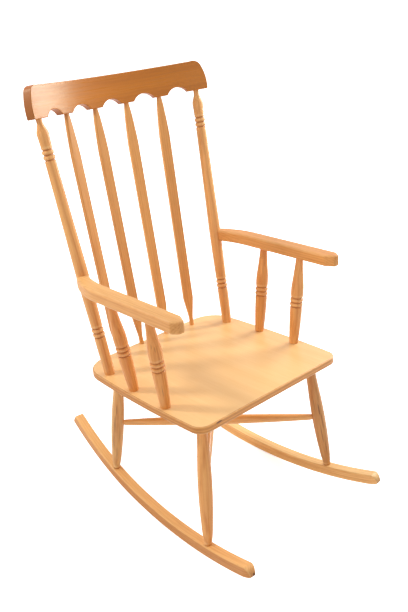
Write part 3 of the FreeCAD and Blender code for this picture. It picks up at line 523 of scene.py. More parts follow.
def arc_points(start, via, stop, spacing):
    """Points on the arc from start through via to stop, without the last one."""
    ax, ay = start
    bx, by = via
    cx, cy = stop
    twice = 2.0 * (ax * (by - cy) + bx * (cy - ay) + cx * (ay - by))
    if abs(twice) < 1e-6:
        count = max(1, round(math.dist(start, stop) / spacing))
        return [Vector(start).lerp(Vector(stop), k / count) for k in range(count)]
    aa, bb, cc = ax * ax + ay * ay, bx * bx + by * by, cx * cx + cy * cy
    ox = (aa * (by - cy) + bb * (cy - ay) + cc * (ay - by)) / twice
    oy = (aa * (cx - bx) + bb * (ax - cx) + cc * (bx - ax)) / twice
    radius = math.dist((ox, oy), start)
    first = math.atan2(ay - oy, ax - ox)
    middle = (math.atan2(by - oy, bx - ox) - first) % math.tau
    sweep = (math.atan2(cy - oy, cx - ox) - first) % math.tau
    if middle > sweep:
        sweep -= math.tau
    count = max(6, round(abs(sweep) * radius / spacing))
    turns = [first + sweep * k / count for k in range(count)]
    return [Vector((ox + radius * math.cos(turn), oy + radius * math.sin(turn))) for turn in turns]


def trace(corners, spacing, closed=True):
    """Closely spaced points along a list of (corner, via) pairs."""
    points = []
    last = len(corners) if closed else len(corners) - 1
    for number in range(last):
        corner, via = corners[number]
        following = corners[(number + 1) % len(corners)][0]
        if via is None:
            count = max(1, round(math.dist(corner, following) / (spacing * 3.0)))
            points += [Vector(corner).lerp(Vector(following), k / count) for k in range(count)]
        else:
            points += arc_points(corner, via, following, spacing)
    if not closed:
        points.append(Vector(corners[-1][0]))
    return points


def mirrored(right):
    """A closed outline from its right half, whose first corner is at the front."""
    left = []
    for number in range(len(right) - 1, -1, -1):
        point = right[number][0]
        via = right[number - 1][1] if number else None
        left.append(((-point[0], point[1]), None if via is None else (-via[0], via[1])))
    return right + left


print("points on a half circle of 50 mm:", len(arc_points((-50, 0), (0, 50), (50, 0), 5.0)))

# %% Eased and inset outlines
# corners that turn less than this, in radians, are part of a curve and stay
SHARP_TURN = 0.24
MOST_TURN = 2.2
EASE_STEPS = 6
# an inset corner moves at most twice the distance
MITRE_LIMIT = 0.5


def walk_outline(loop, number, step, reach):
    """The point at a distance from a corner along the outline, and the points passed."""
    passed = []
    at = loop[number]
    while True:
        number = (number + step) % len(loop)
        gap = (loop[number] - at).length
        if gap > reach:
            return at.lerp(loop[number], reach / gap), passed
        reach -= gap
        at = loop[number]
        passed.append(number)


def ease_curve(start, corner, stop, turn):
    """Points of a small curve from start to stop that a corner pulls on."""
    # the corner's weight makes the curve a true arc between straight sides
    pull = math.cos(turn * 0.5)
    curve = []
    for k in range(EASE_STEPS + 1):
        t = k / EASE_STEPS
        whole = (1 - t) ** 2 + 2 * pull * t * (1 - t) + t * t
        point = start * (1 - t) ** 2 + corner * 2 * pull * t * (1 - t) + stop * t * t
        curve.append(point / whole)
    return curve


def ease_corners(loop, radius):
    """Each sharp corner of a closed outline replaced by a small curve."""
    curves, dropped = {}, set()
    for number, point in enumerate(loop):
        before = loop[number - 1] - point
        after = loop[(number + 1) % len(loop)] - point
        turn = math.pi - before.angle(after)
        if turn < SHARP_TURN:
            continue
        reach = radius * math.tan(min(turn, MOST_TURN) * 0.5)
        start, passed_back = walk_outline(loop, number, -1, reach)
        stop, passed_on = walk_outline(loop, number, 1, reach)
        dropped.update(passed_back, passed_on)
        curves[number] = ease_curve(start, point, stop, turn)
    out = []
    for number, point in enumerate(loop):
        if number in curves:
            out += curves[number]
        elif number not in dropped:
            out.append(point)
    return out


def inset(loop, distance):
    """A closed counter-clockwise outline moved inward."""
    out = []
    for number, point in enumerate(loop):
        before = (point - loop[number - 1]).normalized()
        after = (loop[(number + 1) % len(loop)] - point).normalized()
        normal_before = Vector((-before.y, before.x))
        normal = normal_before + Vector((-after.y, after.x))
        normal.normalize()
        out.append(point + normal * (distance / max(MITRE_LIMIT, normal.dot(normal_before))))
    return out


def outward(loop):
    """The direction that each point of a closed counter-clockwise outline faces."""
    out = []
    for number in range(len(loop)):
        way = (loop[(number + 1) % len(loop)] - loop[number - 1]).normalized()
        out.append(Vector((way.y, -way.x)))
    return out


def inside(loop, point):
    """Whether a ray from the point crosses the outline an odd number of times."""
    hit = False
    for number, first in enumerate(loop):
        second = loop[number - 1]
        if (first.y > point.y) != (second.y > point.y):
            run = (second.x - first.x) * (point.y - first.y) / (second.y - first.y)
            if point.x < run + first.x:
                hit = not hit
    return hit


# %% [markdown]
# ## From numbers to a piece
#
# Every finished part goes through one function, which merges doubled points, turns the faces
# outward, smooths the mesh while keeping its crisp edges, gives it its wood, names it after
# the construction part it stands for, and hides that part.
#
# Before that, marks are painted on the mesh's points for the materials to read: `grain` for
# the way the wood runs, `edge` for rubbed corners, `groove` for turned lines, `rim`, `level`
# and `end` for a board's sawn sides, its layers and its end grain, and `tone` and `red` for
# how dark and how red this stick is painted, which holds both its own tone and painted
# light and shade.

# %% Finish a piece


def paint_mark(mesh, name, values):
    """A mark on each point of a mesh. The grain is a vector, the others are numbers."""
    kind, field = ("FLOAT_VECTOR", "vector") if name == "grain" else ("FLOAT", "value")
    if name == "grain":
        values = [part for value in values for part in value]
    layer = mesh.attributes.get(name) or mesh.attributes.new(name, kind, "POINT")
    layer.data.foreach_set(field, values)


def set_tone(mesh, tone, red=0.0, rim_tone=None, rim_red=0.0):
    """How light and how red a stick is, and a board's rim where it differs from its faces."""
    rims = [0.0] * len(mesh.vertices)
    if rim_tone is None:
        rim_tone = tone
    else:
        mesh.attributes["rim"].data.foreach_get("value", rims)
    paint_mark(mesh, "tone", [between(tone, rim_tone, rim) for rim in rims])
    paint_mark(mesh, "red", [between(red, rim_red, rim) for rim in rims])


def evaluated_mesh(item):
    """The plain mesh that an object's modifiers make."""
    bpy.context.view_layer.update()
    finished = item.evaluated_get(bpy.context.evaluated_depsgraph_get())
    return bpy.data.meshes.new_from_object(finished)


def finish_piece(mesh, node, material, tones, sharp=32.0):
    """A finished object from a mesh, for a node of the frame. Edges past sharp stay crisp."""
    set_tone(mesh, *tones)
    shape = bmesh.new()
    shape.from_mesh(mesh)
    bmesh.ops.remove_doubles(shape, verts=shape.verts, dist=1e-6)
    bmesh.ops.recalc_face_normals(shape, faces=shape.faces)
    open_edges = sum(1 for edge in shape.edges if not edge.is_manifold)
    shape.to_mesh(mesh)
    shape.free()
    mesh.polygons.foreach_set("use_smooth", [True] * len(mesh.polygons))
    mesh.set_sharp_from_angle(angle=math.radians(sharp))
    mesh.materials.clear()
    mesh.materials.append(material)
    piece = bpy.data.objects.new(node + "_dressed", mesh)
    bpy.context.collection.objects.link(piece)
    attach(piece, "root")
    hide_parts(node)
    print("%-26s %6d faces, open edges %d" % (piece.name, len(mesh.polygons), open_edges))


# %% [markdown]
# ## Boards: seat, crest rail, arms and rockers
#
# The four kinds of sawn and bent part are all a flat outline with a thickness and rounded
# edges; they only differ in how the outline is laid in the room. `board` builds rings round
# the rim, rounded by the router's radius above and below, and fills the two faces with even
# triangles, so that a face can follow a bend. `grain_at` says where a point sits in the grain,
# and `place` lays it in the room.

# %% Board builder
RIM_STEPS = 4
# a narrow flat beside each rounded edge keeps the shading of the big faces even
RIM_FLAT = 0.7
# a rounded edge counts as rim while it is inset less than this share of its radius
RIM_SHARE = 0.6
# end grain starts where the rim turns this far toward the way the board runs
END_TURN = 0.5
# how near the outline the fill's points may come, as a share of their spacing
FILL_GAP = 0.55


def fill_face(ring, spacing):
    """Triangles inside a ring, with even points spread over it."""
    low = Vector((min(p.x for p in ring), min(p.y for p in ring)))
    high = Vector((max(p.x for p in ring), max(p.y for p in ring)))
    gap = (spacing * FILL_GAP) ** 2
    points = list(ring)
    for row in range(int((high.y - low.y) / spacing) + 1):
        shift = 0.5 if row % 2 else 0.0
        for column in range(int((high.x - low.x) / spacing) + 1):
            step = Vector(((column + shift) * spacing, (row + 0.5) * spacing))
            point = low + step
            if inside(ring, point) and min((point - p).length_squared for p in ring) > gap:
                points.append(point)
    made = delaunay_2d_cdt(points, [], [list(range(len(ring)))], 1, 1e-5)
    source = []
    for place, origins in zip(made[0], made[3]):
        if not origins:
            points.append(place)
        source.append(origins[0] if origins else len(points) - 1)
    return points[len(ring):], [[source[corner] for corner in face] for face in made[2]]


def rim_profile(depths, rounds):
    """Each ring's inset, depth and rubbed mark, from the lower face round to the upper one."""
    halves = []
    for face, radius, inward in zip(depths, rounds, (1, -1)):
        half = [(radius + RIM_FLAT, face, 0.0)]
        for k in range(RIM_STEPS + 1):
            angle = math.pi * 0.5 * k / RIM_STEPS
            depth = face + inward * radius * (1 - math.cos(angle))
            half.append((radius * (1 - math.sin(angle)), depth, math.sin(angle * 2)))
        half.append((0.0, face + inward * (radius + RIM_FLAT), 0.0))
        halves.append(half)
    return halves[0] + halves[1][::-1]


def ring_walls(rings, around):
    """The faces between rings of points, each ring beyond the one before."""
    faces = []
    for ring in range(rings - 1):
        near, far = ring * around, (ring + 1) * around
        for number in range(around):
            after = (number + 1) % around
            faces.append((near + number, near + after, far + after, far + number))
    return faces


def board(
    name, loop, depths, rounds, spacing, grain_at, place, along=Vector((1, 0)), end_share=1.0
):
    """A closed board mesh. Depths and rounds are given for the lower face, then the upper."""
    area = sum(a.x * b.y - b.x * a.y for a, b in zip(loop, loop[1:] + loop[:1]))
    if area < 0:
        loop = loop[::-1]
    low, high = depths
    profile = rim_profile(depths, rounds)
    flat, edge, rim, end = [], [], [], []
    facing = outward(loop)
    for distance, depth, rubbed in profile:
        side = 1.0 if distance < RIM_SHARE * max(rounds) else 0.0
        for point, normal in zip(inset(loop, distance) if distance else loop, facing):
            flat.append((point.x, point.y, depth))
            edge.append(rubbed)
            rim.append(side)
            # the rim shows end grain where it faces along the board
            turned = max(0.0, abs(normal.dot(along)) - END_TURN) / END_TURN
            end.append(side * end_share * turned)
    around = len(loop)
    faces = ring_walls(len(profile), around)
    for start, depth, flip in ((0, low, True), ((len(profile) - 1) * around, high, False)):
        border = [Vector(flat[start + number][:2]) for number in range(around)]
        extra, triangles = fill_face(border, spacing)
        offset = len(flat)
        for point in extra:
            flat.append((point.x, point.y, depth))
            for marks in (edge, rim, end):
                marks.append(0.0)
        for triangle in triangles:
            corners = [start + c if c < around else offset + c - around for c in triangle]
            faces.append(corners[::-1] if flip else corners)
    mesh = bpy.data.meshes.new(name)
    mesh.from_pydata([place(*point) * MM for point in flat], [], faces)
    level = [(point[2] - low) / (high - low) for point in flat]
    paint_mark(mesh, "grain", [Vector(grain_at(*point)) * MM for point in flat])
    for mark_name, values in (("edge", edge), ("rim", rim), ("end", end), ("level", level)):
        paint_mark(mesh, mark_name, values)
    return mesh


# %% [markdown]
# ### The seat
#
# A thick laminated panel. Its sides bow out a little, the front corners are tight and the rear
# ones wide, so that it follows the fan of the back. The upper edge is only broken, the lower
# one is rounded over for the sitter's legs.

# %% Seat
SEAT_DEPTH = 488.0
SEAT_THICKNESS = 20.0
SEAT_FRONT_HALF = 248.0
SEAT_MIDDLE_HALF = 251.5
SEAT_REAR_HALF = 243.5
SEAT_MIDDLE_BACK = 170.0
SEAT_FRONT_CORNER = 34.0
SEAT_REAR_CORNER = 76.0
SEAT_ROUNDS = (5.0, 2.5)
SEAT_END_SHARE = 0.5
# how far the middle of a round corner lies in from the square one, as a share of its radius
CORNER_BITE = 1.0 - math.sqrt(0.5)

front_bite = SEAT_FRONT_CORNER * CORNER_BITE
rear_bite = SEAT_REAR_CORNER * CORNER_BITE
seat_outline = mirrored([
    ((SEAT_FRONT_HALF - SEAT_FRONT_CORNER, 0.0), (SEAT_FRONT_HALF - front_bite, front_bite)),
    ((SEAT_FRONT_HALF, SEAT_FRONT_CORNER), (SEAT_MIDDLE_HALF, SEAT_MIDDLE_BACK)),
    (
        (SEAT_REAR_HALF, SEAT_DEPTH - SEAT_REAR_CORNER),
        (SEAT_REAR_HALF - rear_bite, SEAT_DEPTH - rear_bite),
    ),
    ((SEAT_REAR_HALF - SEAT_REAR_CORNER, SEAT_DEPTH), None),
])
seat_mesh = board(
    "seat_panel", trace(seat_outline, spacing=5.0),
    depths=(-SEAT_THICKNESS, 0.0), rounds=SEAT_ROUNDS, spacing=16.0,
    grain_at=lambda across, back, up: (across + 700.0, up, back),
    place=on_seat, end_share=SEAT_END_SHARE,
)
finish_piece(seat_mesh, "seat", SEAT_WOOD, (1.0,))
# a small void in one layer, near the left end of the front edge
void = on_seat(-188.0, 0.0, -3.6) * MM
add_flaw(
    SEAT_WOOD, room_position(SEAT_WOOD), void,
    half_size=(0.011, 0.02, 0.0026), strength=0.9, raggedness=0.4,
)

# %% [markdown]
# ### The crest rail
#
# A board bent to a wide curve, then sawn to its pattern: a nearly straight top that drops in a
# shoulder at each end, and a lower edge of arches between the pads that receive the posts and
# the spindles. The saw cuts all point at the centre of the bend, so the outline is measured on
# the front face and laid wider further back.

# %% Crest rail
CREST_THICKNESS = 22.0
CREST_HEIGHT = 78.0
CREST_HALF = 287.0
CREST_ARCH = 17.0
CREST_PADS = (230.0, 171.0, 133.5, 69.0, 31.0)
CREST_SHOULDER = (279.5, CREST_HEIGHT - 18.0)
CREST_CORNER = (271.0, CREST_HEIGHT - 4.8)
CREST_TOP = (250.0, CREST_HEIGHT)
CREST_BULGE = (CREST_HALF + 0.8, CREST_HEIGHT * 0.3)
CREST_FRONT = CREST_RADIUS - CREST_THICKNESS * 0.5
# the face first, then the sawn edges, which are painted darker and redder: partly their own sawn
# colour, partly painted shade on the undersides of the arches
CREST_TONES_AND_SHADE = (1.0, 0.0, 0.84, 1.4)


def crest_outline():
    right = [(CREST_TOP, CREST_CORNER), (CREST_SHOULDER, CREST_BULGE), ((CREST_HALF, 0.0), None)]
    for first, second in ((0, 1), (2, 3)):
        middle = (CREST_PADS[first] + CREST_PADS[second]) * 0.5
        right.append(((CREST_PADS[first], 0.0), (middle, CREST_ARCH)))
        right.append(((CREST_PADS[second], 0.0), None))
    right.append(((CREST_PADS[4], 0.0), (0.0, CREST_ARCH)))
    outline = mirrored(right)
    # the arch in the middle joins the two halves
    outline[len(right)] = (outline[len(right)][0], None)
    return outline


def on_crest_face(arc, up, behind):
    return on_crest(arc * CREST_RADIUS / CREST_FRONT, behind, CREST_PAD_HEIGHT + up)


crest_mesh = board(
    "crest_board", ease_corners(trace(crest_outline(), spacing=4.0), radius=2.6),
    depths=(-CREST_THICKNESS * 0.5, CREST_THICKNESS * 0.5), rounds=(1.6, 1.6), spacing=7.0,
    grain_at=lambda arc, up, behind: (up + 150.0, behind, arc),
    place=on_crest_face,
)
finish_piece(crest_mesh, "crest_rail", CREST_WOOD, CREST_TONES_AND_SHADE)

# %% [markdown]
# ### The rockers
#
# Each rocker is a square strip bent to two radii, easier in front than behind, and rounded all
# round. In front it ends in a blunt nose with a sloping top, behind it is cut square. The pair
# toes out slightly toward the front. The grain follows the bend.

# %% Rocker outline
ROCKER_FRONT_RADIUS = 1224.0
ROCKER_REAR_RADIUS = 752.0
ROCKER_DEPTH = 28.5
ROCKER_WIDTH = 28.5
ROCKER_FRONT_REACH = 477.5
ROCKER_REAR_REACH = 336.5
NOSE_SLOPE = 20.0
NOSE_HEIGHT = 9.0
NOSE_TOE = 4.0
# where the curves above and below the nose's tip pass, as shares of their run and rise
NOSE_BROW = (0.36, 0.66)
NOSE_CHIN = (0.22, 0.36)
TAIL_SLANT = 14.0


def rocker_radius(reach):
    return ROCKER_FRONT_RADIUS if reach < 0 else ROCKER_REAR_RADIUS


def on_strip(angle, depth, radius):
    inner = radius - depth
    return (inner * math.sin(angle), radius - inner * math.cos(angle))


def rocker_outline():
    front, rear, deep = ROCKER_FRONT_RADIUS, ROCKER_REAR_RADIUS, ROCKER_DEPTH
    nose_low = -math.asin((ROCKER_FRONT_REACH - NOSE_TOE) / front)
    nose_high = -math.asin((ROCKER_FRONT_REACH - NOSE_SLOPE) / (front - deep))
    tail_low = math.asin(ROCKER_REAR_REACH / rear)
    tail_high = math.asin((ROCKER_REAR_REACH - TAIL_SLANT) / (rear - deep))
    low = on_strip(nose_low, 0.0, front)
    high = on_strip(nose_high, deep, front)
    tip = (-ROCKER_FRONT_REACH, low[1] + NOSE_HEIGHT)
    brow = (between(tip[0], high[0], NOSE_BROW[0]), between(tip[1], high[1], NOSE_BROW[1]))
    chin = (tip[0] + NOSE_TOE * NOSE_CHIN[0], low[1] + NOSE_HEIGHT * NOSE_CHIN[1])
    return [
        ((0.0, 0.0), on_strip(tail_low * 0.5, 0.0, rear)),
        (on_strip(tail_low, 0.0, rear), None),
        (on_strip(tail_high, deep, rear), on_strip(tail_high * 0.5, deep, rear)),
        ((0.0, deep), on_strip(nose_high * 0.5, deep, front)),
        (high, brow),
        (tip, chin),
        (low, on_strip(nose_low * 0.5, 0.0, front)),
    ]


rocker_loop = ease_corners(trace(rocker_outline(), spacing=6.0), radius=4.8)
print("points round a rocker:", len(rocker_loop))

# %% Rockers
ROCKER_TOE = math.radians(4.2)
ROCKER_HALF_TRACK = 206.2
ROCKER_CONTACT = 301.5 - SEAT_FRONT_SETBACK
NOSE_LENGTH = 24.0
NOSE_PINCH = 0.5
# side faces first, then the top, which the rim carries. The left rocker is painted darker and
# redder than the right, and each top differs from its sides: painted light and shade.
ROCKER_TONES_AND_LIGHT = {"left": (0.79, 1.6, 0.95, -0.3), "right": (1.18, -0.8, 1.07, -2.2)}


def on_rocker(side, reach, out, height):
    """A point in the room from its place on a rocker, which narrows toward its nose."""
    nose = max(0.0, (-reach - ROCKER_FRONT_REACH + NOSE_LENGTH) / NOSE_LENGTH)
    out = out * (1.0 - NOSE_PINCH * nose * nose)
    across = ROCKER_HALF_TRACK - reach * math.sin(ROCKER_TOE) + out * math.cos(ROCKER_TOE)
    back = ROCKER_CONTACT + reach * math.cos(ROCKER_TOE) + out * math.sin(ROCKER_TOE)
    return Vector((side * across, back, height))


def along_strip(reach, height, out):
    """Depth below the strip's outer face, across it and along it, for the grain."""
    radius = rocker_radius(reach)
    angle = math.atan2(reach, radius - height)
    return Vector((radius - math.hypot(reach, radius - height), out, angle * radius))


for side_name, side in SIDES.items():
    plank = Vector((300.0 + side * 80.0, 0.0, 0.0))
    mesh = board(
        "rocker_strip_" + side_name, rocker_loop,
        depths=(-ROCKER_WIDTH * 0.5, ROCKER_WIDTH * 0.5), rounds=(3.5, 3.5), spacing=8.0,
        grain_at=lambda reach, height, out, plank=plank: along_strip(reach, height, out) + plank,
        place=lambda reach, height, out, side=side: on_rocker(side, reach, out, height),
    )
    tones = ROCKER_TONES_AND_LIGHT[side_name]
    finish_piece(mesh, "rocker_" + side_name, BENT_WOOD, tones)

# a dark bruise at the very tip of the left rocker
bruise = on_rocker(-1.0, -ROCKER_FRONT_REACH, -5.0, 104.0) * MM
add_flaw(
    BENT_WOOD, room_position(BENT_WOOD), bruise, half_size=(0.004, 0.004, 0.006), strength=0.9
)

# %% [markdown]
# ### The arms
#
# An arm is a straight, thick strip with cut-off front corners that sweeps in behind the elbow
# and meets the post, where it is hollowed to fit round it. The hollow is cut with a cylinder
# as wide as the post, which is the quickest way to a fit that is right all round. Where the
# posts stand is set out here, because the arms need it first.

# %% Where the posts stand
POST_BASE = (215.2, 395.0)
POST_ARC = 260.5
POST_SWELL_RADIUS = 16.6


def post_ends(side):
    base = on_seat(side * POST_BASE[0], POST_BASE[1], 0.0)
    return base, on_crest(side * POST_ARC, 0.0, CREST_PAD_HEIGHT)


def stand(start, stop, beside=Vector((1, 0, 0))):
    """The placement that stands a part's own third axis from start toward stop."""
    axis = (stop - start).normalized()
    flatwise = (beside - axis * beside.dot(axis)).normalized()
    turn = Matrix((flatwise, axis.cross(flatwise), axis)).transposed()
    return Matrix.Translation(start * MM) @ turn.to_4x4()


post_foot, post_head = post_ends(SIDES["right"])
print("length of a post between seat and rail:", round((post_head - post_foot).length, 1))

# %% Arm outline
ARM_TOP_HEIGHT = 275.5
ARM_THICKNESS = 30.5
ARM_TILT = math.radians(0.5)
ARM_FRONT = 13.0
ARM_INNER = 240.0
ARM_OUTER = 280.5
ARM_CORNER = 13.0
ARM_BEND = 318.0
ARM_END = 446.0
ARM_END_OUTER = 243.5
ARM_END_INNER = 226.0
ARM_PIVOT = on_seat(0.0, ARM_END, ARM_TOP_HEIGHT - ARM_THICKNESS)


def on_arm(across, back, up):
    """A point in the room from its place on the arm's underside."""
    turn = ARM_TILT - PITCH
    y = back - ARM_END
    deep = y * math.cos(turn) - up * math.sin(turn)
    high = y * math.sin(turn) + up * math.cos(turn)
    return ARM_PIVOT + Vector((across, deep, high))


def bend_via(half, end_half, end_back):
    """The middle of the arc that leaves a straight edge smoothly and reaches the end."""
    drop = half - end_half
    run = end_back - ARM_BEND
    radius = (drop * drop + run * run) / (drop * 2.0)
    turn = math.asin(run / radius) * 0.5
    return (half - radius * (1.0 - math.cos(turn)), ARM_BEND + radius * math.sin(turn))


def arm_outline():
    heel = (ARM_END_INNER, ARM_END - POST_SWELL_RADIUS * 2.0)
    return [
        ((ARM_INNER, ARM_FRONT + ARM_CORNER * 2.0), None),
        ((ARM_INNER + ARM_CORNER, ARM_FRONT), None),
        ((ARM_OUTER - ARM_CORNER, ARM_FRONT), None),
        ((ARM_OUTER, ARM_FRONT + ARM_CORNER * 1.3), None),
        ((ARM_OUTER, ARM_BEND), bend_via(ARM_OUTER, ARM_END_OUTER, ARM_END)),
        ((ARM_END_OUTER, ARM_END), None),
        ((ARM_END_INNER, ARM_END), (ARM_END_INNER - 0.2, (ARM_END + heel[1]) * 0.5)),
        (heel, bend_via(ARM_INNER, *heel)),
        ((ARM_INNER, ARM_BEND), None),
    ]


arm_loop = ease_corners(trace(arm_outline(), spacing=5.0), radius=7.5)
print("points round an arm:", len(arm_loop))

# %% Arms
# the cylinder that cuts the hollow: its play round the post, its length in metres, and the
# share of the post below its middle
HOLLOW_PLAY = 0.2
HOLLOW_LENGTH = 0.5
HOLLOW_SHARE = 0.37
ARM_END_SHARE = 0.2
# top faces first, then the sides. Each top is painted darker than its sides, and the right arm's
# top darker and redder than the left's: painted shade on the tops, most on the right arm, where a
# lamp's sheen falls.
ARM_TONES_AND_SHADE = {"left": (0.92, -0.5, 1.0, 0.5), "right": (0.87, 1.1, 0.97, 1.0)}


def hollow_for_post(mesh, side):
    """The arm's mesh with the cylinder of the post taken out of it."""
    base, top = post_ends(side)
    radius = (POST_SWELL_RADIUS + HOLLOW_PLAY) * MM
    cutter_mesh = bpy.data.meshes.new("post_room")
    shape = bmesh.new()
    bmesh.ops.create_cone(
        shape, cap_ends=True, segments=64, radius1=radius, radius2=radius, depth=HOLLOW_LENGTH,
        matrix=stand(base.lerp(top, HOLLOW_SHARE), top),
    )
    shape.to_mesh(cutter_mesh)
    shape.free()
    cutter = bpy.data.objects.new("post_room", cutter_mesh)
    target = bpy.data.objects.new("arm_blank", mesh)
    for item in (cutter, target):
        bpy.context.collection.objects.link(item)
    cut = target.modifiers.new("hollow", "BOOLEAN")
    cut.operation = "DIFFERENCE"
    cut.solver = "EXACT"
    cut.object = cutter
    made = evaluated_mesh(target)
    for item in (cutter, target):
        bpy.data.objects.remove(item)
    return made


for side_name, side in SIDES.items():
    plank = side * 30.0
    mesh = board(
        "arm_strip_" + side_name, arm_loop,
        depths=(0.0, ARM_THICKNESS), rounds=(5.0, 5.0), spacing=8.0,
        grain_at=lambda across, back, up, plank=plank: (across - 40.0 + plank, up, back),
        place=lambda across, back, up, side=side: on_arm(side * across, back, up),
        along=Vector((0, 1)), end_share=ARM_END_SHARE,
    )
    mesh = hollow_for_post(mesh, side)
    finish_piece(mesh, "arm_" + side_name, BENT_WOOD, ARM_TONES_AND_SHADE[side_name])

# %% [markdown]
# ## Turned parts
#
# Posts, legs, stretchers and arm spindles all come off a lathe, so they all come out of one
# Geometry Nodes tree. The script draws only the part's profile: a line of stations up the
# axis, each with its radius. The tree turns the line into a curve, sweeps a circle along it at
# those radii, closes the ends, and writes down where each point sits in the grain. Changing a
# profile number changes the finished part, which is why this is a tree and not a modelled
# mesh.

# %% The lathe tree
LATHE_SIDES = 48
lathe = bpy.data.node_groups.new("lathe", "GeometryNodeTree")


def lathe_socket(label, kind, in_out="INPUT"):
    return lathe.interface.new_socket(label, in_out=in_out, socket_type="NodeSocket" + kind)


def lathe_node(kind, inputs=(), **settings):
    """A node's outputs. Its settings come first, because they decide which inputs it has."""
    node = lathe.nodes.new(kind)
    for key, value in settings.items():
        setattr(node, key, value)
    feed_all(node, dict(inputs))
    return node.outputs


lathe_socket("Profile", "Geometry")
sides_socket = lathe_socket("Sides", "Int")
sides_socket.default_value = LATHE_SIDES
shift_socket = lathe_socket("Grain Shift", "Vector")
wood_socket = lathe_socket("Wood", "Material")
lathe_socket("Turning", "Geometry", "OUTPUT")

given = lathe_node("NodeGroupInput")
axis_line = lathe_node("GeometryNodeMeshToCurve", {"Mesh": given["Profile"]})
radius_mark = lathe_node(
    "GeometryNodeInputNamedAttribute", {"Name": "radius"}, data_type="FLOAT"
)
circle = lathe_node(
    "GeometryNodeCurvePrimitiveCircle",
    {"Radius": 1.0, "Resolution": given["Sides"]},
    mode="RADIUS",
)
sweep = lathe_node("GeometryNodeCurveToMesh", {
    "Curve": axis_line["Curve"],
    "Profile Curve": circle["Curve"],
    "Scale": radius_mark["Attribute"],
    "Fill Caps": True,
})
position = lathe_node("GeometryNodeInputPosition")["Position"]
grain_store = lathe_node(
    "GeometryNodeStoreNamedAttribute",
    {
        "Geometry": sweep["Mesh"],
        "Name": "grain",
        "Value": vector_node("ADD", position, given["Grain Shift"]),
    },
    data_type="FLOAT_VECTOR", domain="POINT",
)
smooth = lathe_node("GeometryNodeSetShadeSmooth", {"Geometry": grain_store["Geometry"]})
real = lathe_node("GeometryNodeRealizeInstances", {"Geometry": smooth["Geometry"]})
coated = lathe_node(
    "GeometryNodeSetMaterial", {"Geometry": real["Geometry"], "Material": given["Wood"]}
)
lathe_node("NodeGroupOutput", {"Turning": coated["Geometry"]})
print("lathe nodes:", len(lathe.nodes))

# %% Grooves and beads
RING_SPACING = 12.5
RING_DEPTH = 2.2
RING_HALF = 2.3
RINGS = 3


def grooves_from(height):
    return [height + RING_SPACING * number for number in range(RINGS)]


def rings_at(radius, height, onward):
    """Three small coves with two beads between them. The arc onward starts at their top."""
    corners = []
    for number, centre in enumerate(grooves_from(height), start=1):
        bead = (radius + RING_DEPTH * 0.5, centre + RING_SPACING * 0.5)
        corners.append(((radius, centre - RING_HALF), (radius - RING_DEPTH, centre)))
        corners.append(((radius, centre + RING_HALF), bead if number < RINGS else onward))
    return corners


def rings_top(height):
    return grooves_from(height)[-1] + RING_HALF


def near_marks(stations, centres):
    """1 at a centre's height, falling to 0 at half a groove's width from it."""
    marks = []
    for point in stations:
        away = min((abs(point.y - centre) for centre in centres), default=RING_HALF)
        marks.append(max(0.0, 1.0 - (away / RING_HALF) ** 2))
    return marks


print("a set of grooves is", round(rings_top(RING_HALF), 1), "mm long")

# %% Profiles to turnings
LATHE_STEP = 4.0
LEAST_RADIUS = 0.05
FRONT_LEFT = Vector((-0.68, -0.73, 0.0))
# every turned part is cut further along and deeper in the same plank
GRAIN_STEP = (0.09, 0.031, 0.7)
turned_parts = []


def add_streaks(place, shift, flaws):
    """Dark streaks on one turning, which run with its grain."""
    toward = place.to_3x3().inverted() @ FRONT_LEFT
    for height, radius, turn, half_length, half_width, strength in flaws:
        angle = math.atan2(toward.y, toward.x) + math.radians(turn)
        centre = Vector((radius * math.cos(angle), radius * math.sin(angle), height)) * MM + shift
        half_size = (half_width * MM, half_width * MM, half_length * MM)
        grain_vector = mark(TURNED_WOOD.node_tree, "grain", "Vector")
        add_flaw(TURNED_WOOD, grain_vector, centre, half_size, strength)


def turn_piece(node, corners, start, stop, tones, grooves=(), flaws=()):
    """A turned part from its profile corners, stood from start to stop.

    Each flaw is a streak: height, radius there, degrees round from the front left, half
    length, half width and strength.
    """
    turned_parts.append(node)
    stations = trace(corners, LATHE_STEP, closed=False)
    beads = [centre + RING_SPACING * 0.5 for centre in grooves]
    line = bpy.data.meshes.new(node + "_profile")
    links = [(k, k + 1) for k in range(len(stations) - 1)]
    line.from_pydata([(0, 0, point.y * MM) for point in stations], links, [])
    paint_mark(line, "radius", [max(point.x, LEAST_RADIUS) * MM for point in stations])
    paint_mark(line, "groove", near_marks(stations, grooves))
    paint_mark(line, "edge", near_marks(stations, beads))
    holder = bpy.data.objects.new(node + "_blank", line)
    bpy.context.collection.objects.link(holder)
    turning = holder.modifiers.new("lathe", "NODES")
    turning.node_group = lathe
    shift = Vector([step * len(turned_parts) for step in GRAIN_STEP])
    turning[sides_socket.identifier] = LATHE_SIDES
    turning[shift_socket.identifier] = shift
    turning[wood_socket.identifier] = TURNED_WOOD
    made = evaluated_mesh(holder)
    bpy.data.objects.remove(holder)
    place = stand(start, stop)
    made.transform(place)
    made.name = node + "_turning"
    add_streaks(place, shift, flaws)
    finish_piece(made, node, TURNED_WOOD, tones, sharp=28.0)


# %% [markdown]
# ### Posts
#
# Each post swells gently from the seat, carries three fine grooves with two beads between
# them, swells again above the arm, thins toward a second set of grooves, and flares into a
# small vase just under the crest rail before it steps down to the neck that enters the rail.

# %% Posts
POST_BASE_RADIUS = 13.4
POST_RING_HEIGHT = 106.4
POST_RING_RADIUS = 15.0
POST_SWELL_HEIGHT = 290.0
POST_WAIST = 12.7
POST_VASE = 14.8
POST_CONE = 12.6
POST_NECK = 7.6
# the upper grooves, vase, cone and neck, measured down from the rail
POST_UPPER_DROP = 99.0
POST_VASE_DROP = 39.0
POST_CONE_DROP = 26.0
POST_NECK_DROP = 12.0
POST_TENON = 22.0
POST_TONES = {"left": (1.0,), "right": (0.97,)}
SOCKET_DEPTH = 14.0


